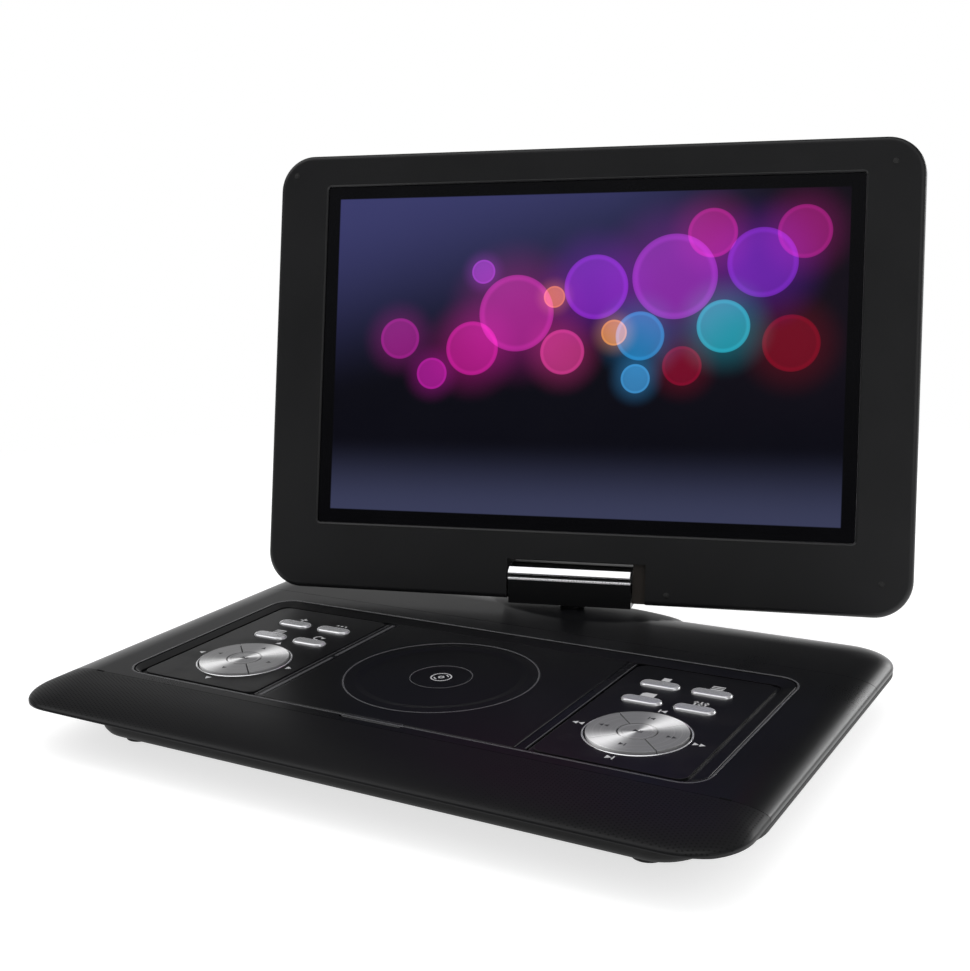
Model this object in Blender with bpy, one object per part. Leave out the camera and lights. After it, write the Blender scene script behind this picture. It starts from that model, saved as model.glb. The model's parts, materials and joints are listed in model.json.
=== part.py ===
"""Portable disc player: a flat base with a disc lid and keys, and a screen on a swivelling hinge.

The origin is the middle of the base's underside, +Z up, the keys' front edge towards -Y.
Sizes are millimetres; MM turns them into Blender's metres.
"""
import math

import bmesh
import bpy
from mathutils import Matrix, Vector

MM = 0.001

# Fits
GAP = 0.3
WALL = 2.4
BITE = 0.5
OVERCUT = 1.0
CORNER_STEPS = 6
ROUND_SIDES = 28

# Base outline and levels
BASE_WIDTH = 386.0
BASE_FRONT = -128.0
BASE_REAR = 131.0
BASE_CORNER = 28.0
COVER_TOP = 28.0
COVER_BOTTOM = 21.6
FLANGE_THICKNESS = 3.0
FLANGE_SETBACK = 0.2
FLANGE_CHAMFER = 1.0
FLANGE_FRONT = -112.0
ROLL_DROP = 5.0
ROLL_SIDE = 20.0
ROLL_FRONT = 36.0
ROLL_REAR = 24.0
ROLL_STEPS = 6
MIN_CORNER = 6.0
NOSE_RISE = 1.1
NOSE_DEPTH = 8.0
FRONT_SEAM = -83.0
REAR_SEAM = 75.0

# Tub under the plate
TUB_HALF_WIDTH = 168.0
TUB_FRONT = -101.0
TUB_REAR_INSET = 1.5
TUB_CORNER = 24.0
TUB_CHAMFER = 6.0
FOOT_RADIUS = 8.0
FOOT_HEIGHT = 2.5
FOOT_INSET_SIDE = 26.0
FOOT_INSET_END = 15.0
LABEL_PAD_RISE = 0.5
LABEL_PAD_HALF_WIDTH = 110.0
LABEL_PAD_FRONT = -60.0
LABEL_PAD_REAR = 80.0
LABEL_PAD_CORNER = 4.0

# Deck with its key panels and the disc lid
DECK_HALF_WIDTH = 154.0
DECK_FRONT = -74.0
DECK_REAR = 51.0
DECK_CORNER = 5.0
DECK_SLOPE_SIDE = 7.0
DECK_SLOPE_FRONT = 2.0
DECK_SLOPE_REAR = 9.0
PANEL_SINK = 0.8
PANEL_THICKNESS = 2.0
LID_HALF_WIDTH = 71.2
LID_FRONT_GAP = 0.5
LID_REAR_GAP = 0.8
LID_CHAMFER = 1.2
BAR_WIDTH = 5.2
BAR_SINK = 0.4
LID_PIVOT_INSET = 1.6
LID_PIN_RADIUS = 0.7
LID_PIN_LENGTH = 3.0
TAB_X = -3.0
TAB_WIDTH = 34.0
TAB_DEPTH = 4.4
TAB_HEIGHT = 5.9
TAB_PROUD = 0.7

# Keys
DIAL_X = 114.0
DIAL_Y = -35.0
DIAL_RADIUS = 24.0
DIAL_HUB_RADIUS = 9.0
DIAL_SPLIT = 0.5
KEY_PROUD = 1.2
KEY_DEPTH = 2.4
PILL_LENGTH = 21.0
PILL_WIDTH = 8.4
PILL_COLUMNS = (99.5, 126.5)
PILL_ROWS = (25.0, 2.5)
KEY_BOARD_DROP = 0.7
KEY_BOARD_THICKNESS = 1.4
KEY_BOARD_MARGIN = 4.0

# Disc drive
DISC_X = -6.0
DISC_Y = -10.0
WELL_RADIUS = 61.2
WELL_FLOOR = 19.5
TRAY_BOTTOM = 18.0
TRAY_FRONT = -73.0
TRAY_REAR = 55.0
TURNTABLE_RADIUS = 15.0
TURNTABLE_RISE = 1.0
TURNTABLE_CLEARANCE = 2.0
HUB_RADIUS = 7.2
HUB_TOP = 23.4
MOTOR_RADIUS = 13.0
CHASSIS_LEVEL = 12.0
CHASSIS_THICKNESS = 1.6
CHASSIS_SIZE = 104.0
CHASSIS_SHIFT = -14.0
PILLAR_RADIUS = 3.0
SLED_WIDTH = 34.0
SLED_LENGTH = 18.0
SLED_HEIGHT = 3.7
SLED_REST = 30.0
SLED_TRAVEL_IN = 5.0
SLED_TRAVEL_OUT = 23.0
ROD_OFFSET = 12.0
ROD_RADIUS = 1.2
ROD_TAB_WIDTH = 6.0
ROD_TAB_THICKNESS = 1.5
LENS_RADIUS = 4.0
LENS_TOP = 19.6
LENS_CLEARANCE = 4.0
SLED_MOTOR_LENGTH = 14.0
SLED_MOTOR_RADIUS = 4.0

# Boards, battery, speakers and sockets in the tub
MAIN_BOARD_SIZE = (110.0, 150.0, 1.6)
MAIN_BOARD_CENTRE = (95.0, 20.0)
BOSS_HEIGHT = 3.0
BOSS_RADIUS = 3.0
BATTERY_SIZE = (130.0, 38.0, 15.0)
BATTERY_CENTRE = (-82.0, 79.0)
SPEAKER_SIZE = (44.0, 15.0, 8.0)
SPEAKER_X = 118.0
SOCKET_LEVEL = 11.0
JACK_BLOCK_SIZE = (14.0, 40.0, 9.0)
JACK_BLOCK_Y = 40.0
JACK_RADII = (3.1, 1.8, 1.8)
JACK_DEPTH = 10.0
READER_SIZE = (22.0, 44.0, 7.0)
READER_Y = 36.0
SLOT_BACK_WALL = 2.0
USB_SLOT = (12.4, 4.8)
USB_SHIFT = -14.4
CARD_SLOT = (24.4, 2.4)
CARD_SHIFT = 8.0
SWITCH_Y = -12.0
SWITCH_SIZE = (6.0, 8.0, 4.0)
SWITCH_TRAVEL = 5.0
SWITCH_PROUD = 1.0

# Swivel and screen
SWIVEL_X = 4.7
SCREEN_SHIFT = 0.9
SWIVEL_ANGLE = 14.2
TILT_ANGLE = 13.3
AXIS_RISE = 13.5
POST_RADIUS = 7.6
POST_BOTTOM = 15.0
BUSHING_RADIUS = 9.2
BUSHING_CLEARANCE = 0.4
BUSHING_ROLL_SHARE = 0.7
HUMP_SIZE = (70.0, 30.0, 5.0)
HUMP_RISE = 1.5
HUMP_INSET = 1.0
BARREL_HALF_WIDTH = 36.0
BARREL_HALF_DEPTH = 9.6
BARREL_DROP = 9.4
BARREL_TOP = 11.6
BARREL_SLOPE = 4.9
TRIM_UPPER_INSET = 0.9
TRIM_UPPER_THICKNESS = 1.4
TRIM_PROUD = 0.5
TRIM_LOWER = (4.7, 6.2)
TRIM_LOWER_DEPTH = 1.7
PIN_RADIUS = 3.0
PIN_INNER = 18.0
KNUCKLE_RADIUS = 6.5
BRACKET_SIZE = (13.0, 2.0, 58.0)
BRACKET_ENTRY = 2.0

LCD_WIDTH = 299.4
LCD_HEIGHT = 187.1
LCD_BORDER_SIDE = 7.6
LCD_BORDER_TOP = 7.3
LCD_BORDER_BOTTOM = 8.2
SCREEN_WIDTH = 377.0
SCREEN_MARGIN_TOP = 26.6
SCREEN_MARGIN_BOTTOM = 47.8
SCREEN_CORNER = 21.0
SCREEN_BEZEL_DEPTH = 8.0
SCREEN_DEPTH = 21.0
SCREEN_WALL = 2.1
AXIS_TO_LCD = 39.3
NOTCH_HALF_WIDTH = 43.5
NOTCH_TOP = 14.5
GLASS_SINK = 1.1
GLASS_THICKNESS = 1.0
MODULE_DEPTH = 4.6
MODULE_OVERLAP = 4.0
WINDOW_CORNER = 2.0
BOWL_INSET = 9.0
# Inset of the bezel's outline and its depth from the front
BEZEL_PROFILE = ((3.0, 0.0), (1.0, 0.8), (0.2, 2.2), (0.0, 4.0))
# Inset of the rear cover's outline and its share of the depth
DOME_PROFILE = ((0.0, 0.0), (0.0, 0.25), (1.5, 0.52), (5.0, 0.78), (11.0, 0.94), (20.0, 1.0))
BOWL_SHARE = 0.45

# Levels and places that follow from the sizes above
PANEL_TOP = COVER_TOP - PANEL_SINK
PANEL_BOTTOM = PANEL_TOP - PANEL_THICKNESS
TRAY_TOP = PANEL_BOTTOM - GAP
FLANGE_TOP = COVER_BOTTOM - GAP
FLANGE_BOTTOM = FLANGE_TOP - FLANGE_THICKNESS
COVER_INSIDE = COVER_TOP - WALL
TUB_REAR = BASE_REAR - TUB_REAR_INSET
SWIVEL_Y = TUB_REAR - WALL - BUSHING_CLEARANCE - BUSHING_RADIUS
BUSHING_TOP = COVER_INSIDE - BUSHING_ROLL_SHARE * ROLL_DROP - GAP
LID_FRONT = DECK_FRONT + LID_FRONT_GAP
LID_REAR = DECK_REAR - LID_REAR_GAP
LID_AXIS = (LID_REAR - LID_PIVOT_INSET, PANEL_BOTTOM)
BAR_OUTSIDE = LID_HALF_WIDTH + GAP + BAR_WIDTH
AXIS_Z = COVER_TOP + AXIS_RISE
SCREEN_FRONT = -SCREEN_DEPTH / 2.0
SCREEN_SEAM = SCREEN_FRONT + SCREEN_BEZEL_DEPTH
LCD_BOTTOM = AXIS_TO_LCD
LCD_TOP = LCD_BOTTOM + LCD_HEIGHT
SCREEN_BOTTOM = LCD_BOTTOM - SCREEN_MARGIN_BOTTOM
SCREEN_TOP = LCD_TOP + SCREEN_MARGIN_TOP
OPENING_HALF_WIDTH = LCD_WIDTH / 2.0 + LCD_BORDER_SIDE
OPENING_BOTTOM = LCD_BOTTOM - LCD_BORDER_BOTTOM
OPENING_TOP = LCD_TOP + LCD_BORDER_TOP
REACH = 500.0

# Which way an outline's two axes and its extrusion point
PLANES = {
    "X": lambda u, v, w: (w, u, v),
    "Y": lambda u, v, w: (u, w, v),
    "Z": lambda u, v, w: (u, v, w),
}


# Scene, collections and materials
for old in list(bpy.data.objects):
    bpy.data.objects.remove(old, do_unlink=True)
PARTS = bpy.data.collections.new("portable_disc_player")
CUTTERS = bpy.data.collections.new("cutters")
for group in (PARTS, CUTTERS):
    bpy.context.scene.collection.children.link(group)


def finish(name, colour, roughness, metallic=0.0):
    """A plain Principled material."""
    made = bpy.data.materials.new(name)
    made.use_nodes = True
    shader = made.node_tree.nodes["Principled BSDF"]
    shader.inputs["Base Color"].default_value = (*colour, 1.0)
    shader.inputs["Roughness"].default_value = roughness
    shader.inputs["Metallic"].default_value = metallic
    return made


SATIN_BLACK = finish("satin_black", (0.02, 0.02, 0.022), 0.42)
GLOSS_BLACK = finish("gloss_black", (0.012, 0.012, 0.014), 0.15)
GRILLE_BLACK = finish("grille_black", (0.03, 0.03, 0.032), 0.6)
SPUN_ALUMINIUM = finish("spun_aluminium", (0.75, 0.75, 0.77), 0.28, 1.0)
CHROME = finish("chrome", (0.85, 0.85, 0.87), 0.08, 1.0)
STEEL = finish("steel", (0.55, 0.55, 0.57), 0.35, 1.0)
RUBBER = finish("rubber", (0.02, 0.02, 0.02), 0.85)
BOARD_GREEN = finish("board_green", (0.03, 0.16, 0.07), 0.5)
CELL_BLUE = finish("cell_blue", (0.05, 0.09, 0.25), 0.5)
SCREEN_GLASS = finish("screen_glass", (0.01, 0.012, 0.03), 0.08)


# Mesh helpers, all in millimetres
def arc(centre, radius, start, end, steps):
    """Points along an arc, angles in degrees."""
    angles = [math.radians(start + (end - start) * i / steps) for i in range(steps + 1)]
    return [(centre[0] + radius * math.cos(a), centre[1] + radius * math.sin(a)) for a in angles]


def rounded(left, right, low, high, radius, steps=CORNER_STEPS):
    """A rectangle with round corners, counter-clockwise."""
    corners = ((right - radius, high - radius, 0), (left + radius, high - radius, 90),
               (left + radius, low + radius, 180), (right - radius, low + radius, 270))
    points = []
    for x, y, start in corners:
        points += arc((x, y), radius, start, start + 90, steps)
    return points


def loft(rings, axis="Z"):
    """A closed skin through outlines of equal point counts, each given with its level."""
    mesh = bmesh.new()
    point = PLANES[axis]
    loops = []
    for outline, level in rings:
        loops.append([mesh.verts.new(Vector(point(u, v, level)) * MM) for u, v in outline])
    for below, above in zip(loops, loops[1:]):
        for i in range(len(below)):
            j = (i + 1) % len(below)
            mesh.faces.new((below[i], below[j], above[j], above[i]))
    mesh.faces.new(loops[0])
    mesh.faces.new(loops[-1])
    bmesh.ops.recalc_face_normals(mesh, faces=mesh.faces)
    return mesh


def prism(outline, low, high, axis="Z"):
    return loft([(outline, low), (outline, high)], axis)


def block(low, high):
    """A box between two corners."""
    mesh = bmesh.new()
    bmesh.ops.create_cube(mesh, size=1.0)
    size = Vector(high) - Vector(low)
    middle = (Vector(high) + Vector(low)) / 2.0
    bmesh.ops.scale(mesh, vec=size * MM, verts=mesh.verts)
    bmesh.ops.translate(mesh, vec=middle * MM, verts=mesh.verts)
    return mesh


def slab(size, centre):
    half = Vector(size) / 2.0
    return block(Vector(centre) - half, Vector(centre) + half)


def rod(radius, start, length, axis="Z", sides=ROUND_SIDES):
    """A cylinder that runs from its start point along an axis."""
    mesh = bmesh.new()
    bmesh.ops.create_cone(mesh, cap_ends=True, segments=sides, radius1=radius * MM,
                          radius2=radius * MM, depth=length * MM)
    turn = {"X": Matrix.Rotation(math.radians(90), 4, "Y"),
            "Y": Matrix.Rotation(math.radians(-90), 4, "X"),
            "Z": Matrix.Identity(4)}[axis]
    step = Vector(PLANES[axis](0.0, 0.0, length / 2.0))
    bmesh.ops.transform(mesh, matrix=turn, verts=mesh.verts)
    bmesh.ops.translate(mesh, vec=(Vector(start) + step) * MM, verts=mesh.verts)
    return mesh


def place(name, mesh, collection, parent=None):
    data = bpy.data.meshes.new(name)
    mesh.to_mesh(data)
    mesh.free()
    made = bpy.data.objects.new(name, data)
    collection.objects.link(made)
    made.parent = parent
    return made


def part(name, mesh, material, parent=None, smooth=False):
    """One piece of the object."""
    made = place(name, mesh, PARTS, parent)
    made.data.materials.append(material)
    if smooth:
        made.data.shade_smooth()
        made.data.set_sharp_from_angle(angle=math.radians(35))
    return made


def tool(name, mesh, parent=None):
    """A shape that only cuts or joins."""
    made = place(name, mesh, CUTTERS, parent)
    made.hide_render = True
    made.display_type = "WIRE"
    return made


def combine(piece, shape, operation="DIFFERENCE"):
    change = piece.modifiers.new(operation.lower() + "_" + shape.name, "BOOLEAN")
    change.operation = operation
    change.object = shape


def pivot(name, location, rotation=(0.0, 0.0, 0.0), parent=None):
    """An empty on a joint's axis."""
    made = bpy.data.objects.new(name, None)
    PARTS.objects.link(made)
    made.location = Vector(location) * MM
    made.rotation_euler = [math.radians(angle) for angle in rotation]
    made.parent = parent
    return made


# The plate that the base's upper pieces are cut from
def plate_outline(share, offset):
    """Outline at a share of the edge's roll, 0 at the rim and 1 on the flat."""
    side = ROLL_SIDE * share + offset
    radius = max(BASE_CORNER - side, MIN_CORNER)
    return rounded(-BASE_WIDTH / 2 + side, BASE_WIDTH / 2 - side,
                   BASE_FRONT + ROLL_FRONT * share + offset,
                   BASE_REAR - ROLL_REAR * share - offset, radius)


def plate_rings(offset, bottom):
    rings = [(plate_outline(0.0, offset), bottom)]
    for i in range(ROLL_STEPS, -1, -1):
        angle = math.pi / 2 * i / ROLL_STEPS
        drop = ROLL_DROP * (1 - math.cos(angle))
        rings.append((plate_outline(1 - math.sin(angle), offset), COVER_TOP - offset - drop))
    return rings


def plate_piece(name, front, rear, material):
    """The stretch of the hollow plate between two Y planes."""
    piece = part(name, loft(plate_rings(0.0, COVER_BOTTOM)), material, smooth=True)
    stretch = tool(name + "_stretch", block((-REACH, front, 0.0), (REACH, rear, 2 * COVER_TOP)))
    combine(piece, stretch, "INTERSECT")
    return piece


def tub_outline(inset):
    return rounded(-TUB_HALF_WIDTH + inset, TUB_HALF_WIDTH - inset, TUB_FRONT + inset,
                   TUB_REAR - inset, max(TUB_CORNER - inset, MIN_CORNER))


def flange_outline(inset):
    """Outline of the tub's flange, which ends short of the front strip's rim."""
    half = BASE_WIDTH / 2 - FLANGE_SETBACK - inset
    rear = BASE_REAR - FLANGE_SETBACK - inset
    return rounded(-half, half, FLANGE_FRONT + inset, rear, BASE_CORNER - inset)


def make_base_shell():
    front = plate_piece("front_grille", -REACH, FRONT_SEAM - GAP / 2, GRILLE_BLACK)
    hollow = tool("front_cavity", loft(plate_rings(WALL, COVER_BOTTOM - 2 * WALL)))
    behind = block((-REACH, FLANGE_FRONT + WALL, 0.0), (REACH, REACH, REACH))
    combine(hollow, tool("front_cavity_limit", behind), "INTERSECT")
    combine(front, hollow)
    ahead, rear = BASE_FRONT - NOSE_DEPTH, BASE_FRONT + NOSE_DEPTH
    under = [(ahead, COVER_BOTTOM + 2 * NOSE_RISE), (ahead, 0.0), (rear, 0.0), (rear, COVER_BOTTOM)]
    combine(front, tool("nose_underside", prism(under, -REACH, REACH, "X")))

    cavity = tool("plate_cavity", loft(plate_rings(WALL, COVER_BOTTOM - 2 * WALL)))
    cover = plate_piece("top_cover", FRONT_SEAM + GAP / 2, REAR_SEAM - GAP / 2, SATIN_BLACK)
    combine(cover, cavity)
    mouth = rounded(-DECK_HALF_WIDTH - DECK_SLOPE_SIDE, DECK_HALF_WIDTH + DECK_SLOPE_SIDE,
                    DECK_FRONT - DECK_SLOPE_FRONT, DECK_REAR + DECK_SLOPE_REAR,
                    DECK_CORNER + DECK_SLOPE_SIDE)
    throat = rounded(-DECK_HALF_WIDTH, DECK_HALF_WIDTH, DECK_FRONT, DECK_REAR, DECK_CORNER)
    deck = tool("deck_opening", loft([(throat, COVER_INSIDE - WALL), (throat, PANEL_TOP),
                                      (mouth, COVER_TOP), (mouth, COVER_TOP + WALL)]))
    combine(cover, deck)
    pocket_half = TAB_WIDTH / 2 + GAP
    pocket = block((TAB_X - pocket_half, DECK_FRONT - TAB_DEPTH - GAP, COVER_INSIDE - WALL),
                   (TAB_X + pocket_half, DECK_FRONT + GAP, COVER_TOP + WALL))
    combine(cover, tool("tab_pocket", pocket))

    rear = plate_piece("rear_cover", REAR_SEAM + GAP / 2, REACH, SATIN_BLACK)
    hump_mesh = bmesh.new()
    bmesh.ops.create_uvsphere(hump_mesh, u_segments=36, v_segments=14, radius=MM)
    bmesh.ops.scale(hump_mesh, vec=HUMP_SIZE, verts=hump_mesh.verts)
    hump_centre = Vector((SWIVEL_X, SWIVEL_Y, COVER_TOP + HUMP_RISE - HUMP_SIZE[2]))
    bmesh.ops.translate(hump_mesh, vec=hump_centre * MM, verts=hump_mesh.verts)
    hump = tool("hinge_hump", hump_mesh)
    limit = prism(plate_outline(0.0, HUMP_INSET), COVER_BOTTOM + HUMP_INSET, 2 * COVER_TOP)
    combine(hump, tool("hump_limit", limit), "INTERSECT")
    combine(rear, hump, "UNION")
    combine(rear, cavity)
    combine(rear, tool("post_hole", rod(POST_RADIUS + GAP, (SWIVEL_X, SWIVEL_Y, 0), 2 * COVER_TOP)))


def make_bottom_housing():
    rings = [(tub_outline(TUB_CHAMFER), LABEL_PAD_RISE), (tub_outline(TUB_CHAMFER / 3), TUB_CHAMFER / 3),
             (tub_outline(0.0), TUB_CHAMFER), (tub_outline(0.0), FLANGE_BOTTOM),
             (flange_outline(FLANGE_CHAMFER), FLANGE_BOTTOM),
             (flange_outline(0.0), FLANGE_BOTTOM + FLANGE_CHAMFER), (flange_outline(0.0), FLANGE_TOP)]
    housing = part("bottom_housing", loft(rings), SATIN_BLACK, smooth=True)
    pad = rounded(-LABEL_PAD_HALF_WIDTH, LABEL_PAD_HALF_WIDTH, LABEL_PAD_FRONT, LABEL_PAD_REAR,
                  LABEL_PAD_CORNER)
    combine(housing, tool("label_pad", prism(pad, 0.0, WALL)), "UNION")
    inside = [(tub_outline(TUB_CHAMFER + WALL), WALL), (tub_outline(WALL), TUB_CHAMFER + WALL),
              (tub_outline(WALL), COVER_TOP)]
    combine(housing, tool("tub_cavity", loft(inside)))
    for i, (x, y) in enumerate(board_corners()):
        boss = rod(BOSS_RADIUS, (x, y, WALL - BITE), BOSS_HEIGHT + BITE)
        combine(housing, tool("board_boss_%d" % i, boss), "UNION")
    for name, side, y, width, height in wall_openings():
        reach = side * (TUB_HALF_WIDTH - WALL / 2)
        window = slab((4 * WALL, width + 2 * GAP, height + 2 * GAP), (reach, y, SOCKET_LEVEL))
        combine(housing, tool(name + "_window", window))
    feet_x = TUB_HALF_WIDTH - FOOT_INSET_SIDE
    front, rear = TUB_FRONT + FOOT_INSET_END, TUB_REAR - FOOT_INSET_END
    foot_low = LABEL_PAD_RISE - GAP - FOOT_HEIGHT
    for i, (x, y) in enumerate(((feet_x, front), (-feet_x, front), (feet_x, rear), (-feet_x, rear))):
        part("foot_%d" % (i + 1), rod(FOOT_RADIUS, (x, y, foot_low), FOOT_HEIGHT), RUBBER)


def board_corners():
    half_x = MAIN_BOARD_SIZE[0] / 2 - 2 * BOSS_RADIUS
    half_y = MAIN_BOARD_SIZE[1] / 2 - 2 * BOSS_RADIUS
    return [(MAIN_BOARD_CENTRE[0] + sx * half_x, MAIN_BOARD_CENTRE[1] + sy * half_y)
            for sx in (-1, 1) for sy in (-1, 1)]


def wall_openings():
    """Name, side, place and size of each window in the tub's side walls."""
    return (("jack_block", -1, JACK_BLOCK_Y, JACK_BLOCK_SIZE[1], JACK_BLOCK_SIZE[2]),
            ("usb_card_port", 1, READER_Y, READER_SIZE[1], READER_SIZE[2]),
            ("power_switch", 1, SWITCH_Y, SWITCH_SIZE[1] + SWITCH_TRAVEL, SWITCH_SIZE[2]))


# Deck pieces
def dial_sector(turn):
    """Outline of one sector key; turn is the angle of its middle."""
    half = 45.0
    outer = DIAL_RADIUS - GAP
    inner = DIAL_HUB_RADIUS + DIAL_SPLIT
    trim_outer = math.degrees(DIAL_SPLIT / 2 / outer)
    trim_inner = math.degrees(DIAL_SPLIT / 2 / inner)
    points = arc((0, 0), outer, turn - half + trim_outer, turn + half - trim_outer, 8)
    return points + arc((0, 0), inner, turn + half - trim_inner, turn - half + trim_inner, 6)


def shifted(outline, x, y):
    return [(u + x, v + y) for u, v in outline]


def pill(length, width):
    return rounded(-length / 2, length / 2, -width / 2, width / 2, width / 2 - 0.01, 5)


def make_key_panel(name, side):
    near, far = BAR_OUTSIDE + GAP, DECK_HALF_WIDTH - GAP
    left, right = sorted((side * near, side * far))
    plate = rounded(left, right, DECK_FRONT + GAP, DECK_REAR - GAP, DECK_CORNER - 2 * GAP)
    panel = part(name + "_panel", prism(plate, PANEL_BOTTOM, PANEL_TOP), GLOSS_BLACK)
    low, high = PANEL_TOP - KEY_DEPTH, PANEL_TOP + KEY_PROUD
    centre = (side * DIAL_X, DIAL_Y)
    dial_hole = rod(DIAL_RADIUS, (*centre, PANEL_BOTTOM - WALL), 2 * WALL + PANEL_THICKNESS, sides=48)
    combine(panel, tool(name + "_dial_hole", dial_hole))
    for word, turn in (("right", 0), ("back", 90), ("left", 180), ("front", 270)):
        outline = shifted(dial_sector(turn), *centre)
        part("%s_dial_%s" % (name, word), prism(outline, low, high), SPUN_ALUMINIUM)
    hub = rod(DIAL_HUB_RADIUS, (*centre, low), high - low)
    part(name + "_dial_centre", hub, SPUN_ALUMINIUM, smooth=True)
    number = 0
    for y in PILL_ROWS:
        for x in PILL_COLUMNS:
            number += 1
            key = shifted(pill(PILL_LENGTH, PILL_WIDTH), side * x, y)
            hole = shifted(pill(PILL_LENGTH + 2 * GAP, PILL_WIDTH + 2 * GAP), side * x, y)
            part("%s_key_%d" % (name, number), prism(key, low, high), CHROME, smooth=True)
            opening = prism(hole, PANEL_BOTTOM - WALL, PANEL_TOP + WALL)
            combine(panel, tool("%s_key_hole_%d" % (name, number), opening))
    board_top = low - KEY_BOARD_DROP
    margin = KEY_BOARD_MARGIN
    board = block((left + margin, DECK_FRONT + margin, board_top - KEY_BOARD_THICKNESS),
                  (right - margin, DECK_REAR - margin, board_top))
    part(name + "_key_board", board, BOARD_GREEN)


def make_lid():
    y_axis, z_axis = LID_AXIS
    hinge = pivot("lid_pivot", (0.0, y_axis, z_axis))
    front, rear = LID_FRONT - y_axis, LID_REAR - y_axis
    profile = [(front, 0.0), (rear, 0.0), (rear, PANEL_THICKNESS - LID_CHAMFER),
               (rear - LID_CHAMFER, PANEL_THICKNESS), (front, PANEL_THICKNESS)]
    lid = part("disc_lid", prism(profile, -LID_HALF_WIDTH, LID_HALF_WIDTH, "X"), SATIN_BLACK, hinge)
    length = 2 * (LID_HALF_WIDTH + LID_PIN_LENGTH)
    ends = tool("lid_pins", rod(LID_PIN_RADIUS, (-length / 2, 0, 0), length, "X", 12), hinge)
    combine(lid, ends, "UNION")
    tab_top = PANEL_TOP + TAB_PROUD
    part("open_tab", block((TAB_X - TAB_WIDTH / 2, DECK_FRONT - TAB_DEPTH, tab_top - TAB_HEIGHT),
                           (TAB_X + TAB_WIDTH / 2, DECK_FRONT, tab_top)), SATIN_BLACK)


def make_disc_tray():
    tray = part("disc_well", block((-BAR_OUTSIDE, TRAY_FRONT, TRAY_BOTTOM),
                                   (BAR_OUTSIDE, TRAY_REAR, TRAY_TOP)), GLOSS_BLACK)
    for side in (-1, 1):
        inner, outer = side * (LID_HALF_WIDTH + GAP), side * BAR_OUTSIDE
        bar = block((min(inner, outer), TRAY_FRONT, TRAY_TOP - BITE),
                    (max(inner, outer), DECK_REAR - GAP, PANEL_TOP - BAR_SINK))
        combine(tray, tool("tray_bar_%s" % ("left" if side < 0 else "right"), bar), "UNION")
    y_axis, z_axis = LID_AXIS
    reach = 2 * (LID_HALF_WIDTH + LID_PIN_LENGTH + GAP)
    holes = rod(LID_PIN_RADIUS + GAP, (-reach / 2, y_axis, z_axis), reach, "X", 12)
    combine(tray, tool("lid_pin_holes", holes))
    relief = block((-LID_HALF_WIDTH - GAP, y_axis - LID_PIVOT_INSET, TRAY_TOP - LID_PIVOT_INSET),
                   (LID_HALF_WIDTH + GAP, TRAY_REAR + OVERCUT, COVER_TOP))
    combine(tray, tool("lid_relief", relief))
    well = rod(WELL_RADIUS, (DISC_X, DISC_Y, WELL_FLOOR), COVER_TOP, sides=64)
    combine(tray, tool("disc_recess", well))
    window = rod(TURNTABLE_RADIUS + TURNTABLE_CLEARANCE, (DISC_X, DISC_Y, 0.0), COVER_TOP)
    combine(tray, tool("turntable_window", window))
    start = SLED_REST - SLED_TRAVEL_IN - SLED_LENGTH / 2 - OVERCUT
    end = SLED_REST + SLED_TRAVEL_OUT + SLED_LENGTH / 2
    reach = LENS_RADIUS + LENS_CLEARANCE
    slot = block((DISC_X - reach, DISC_Y - end, 0.0), (DISC_X + reach, DISC_Y - start, WELL_FLOOR + OVERCUT))
    combine(tray, tool("lens_window", slot))


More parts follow.
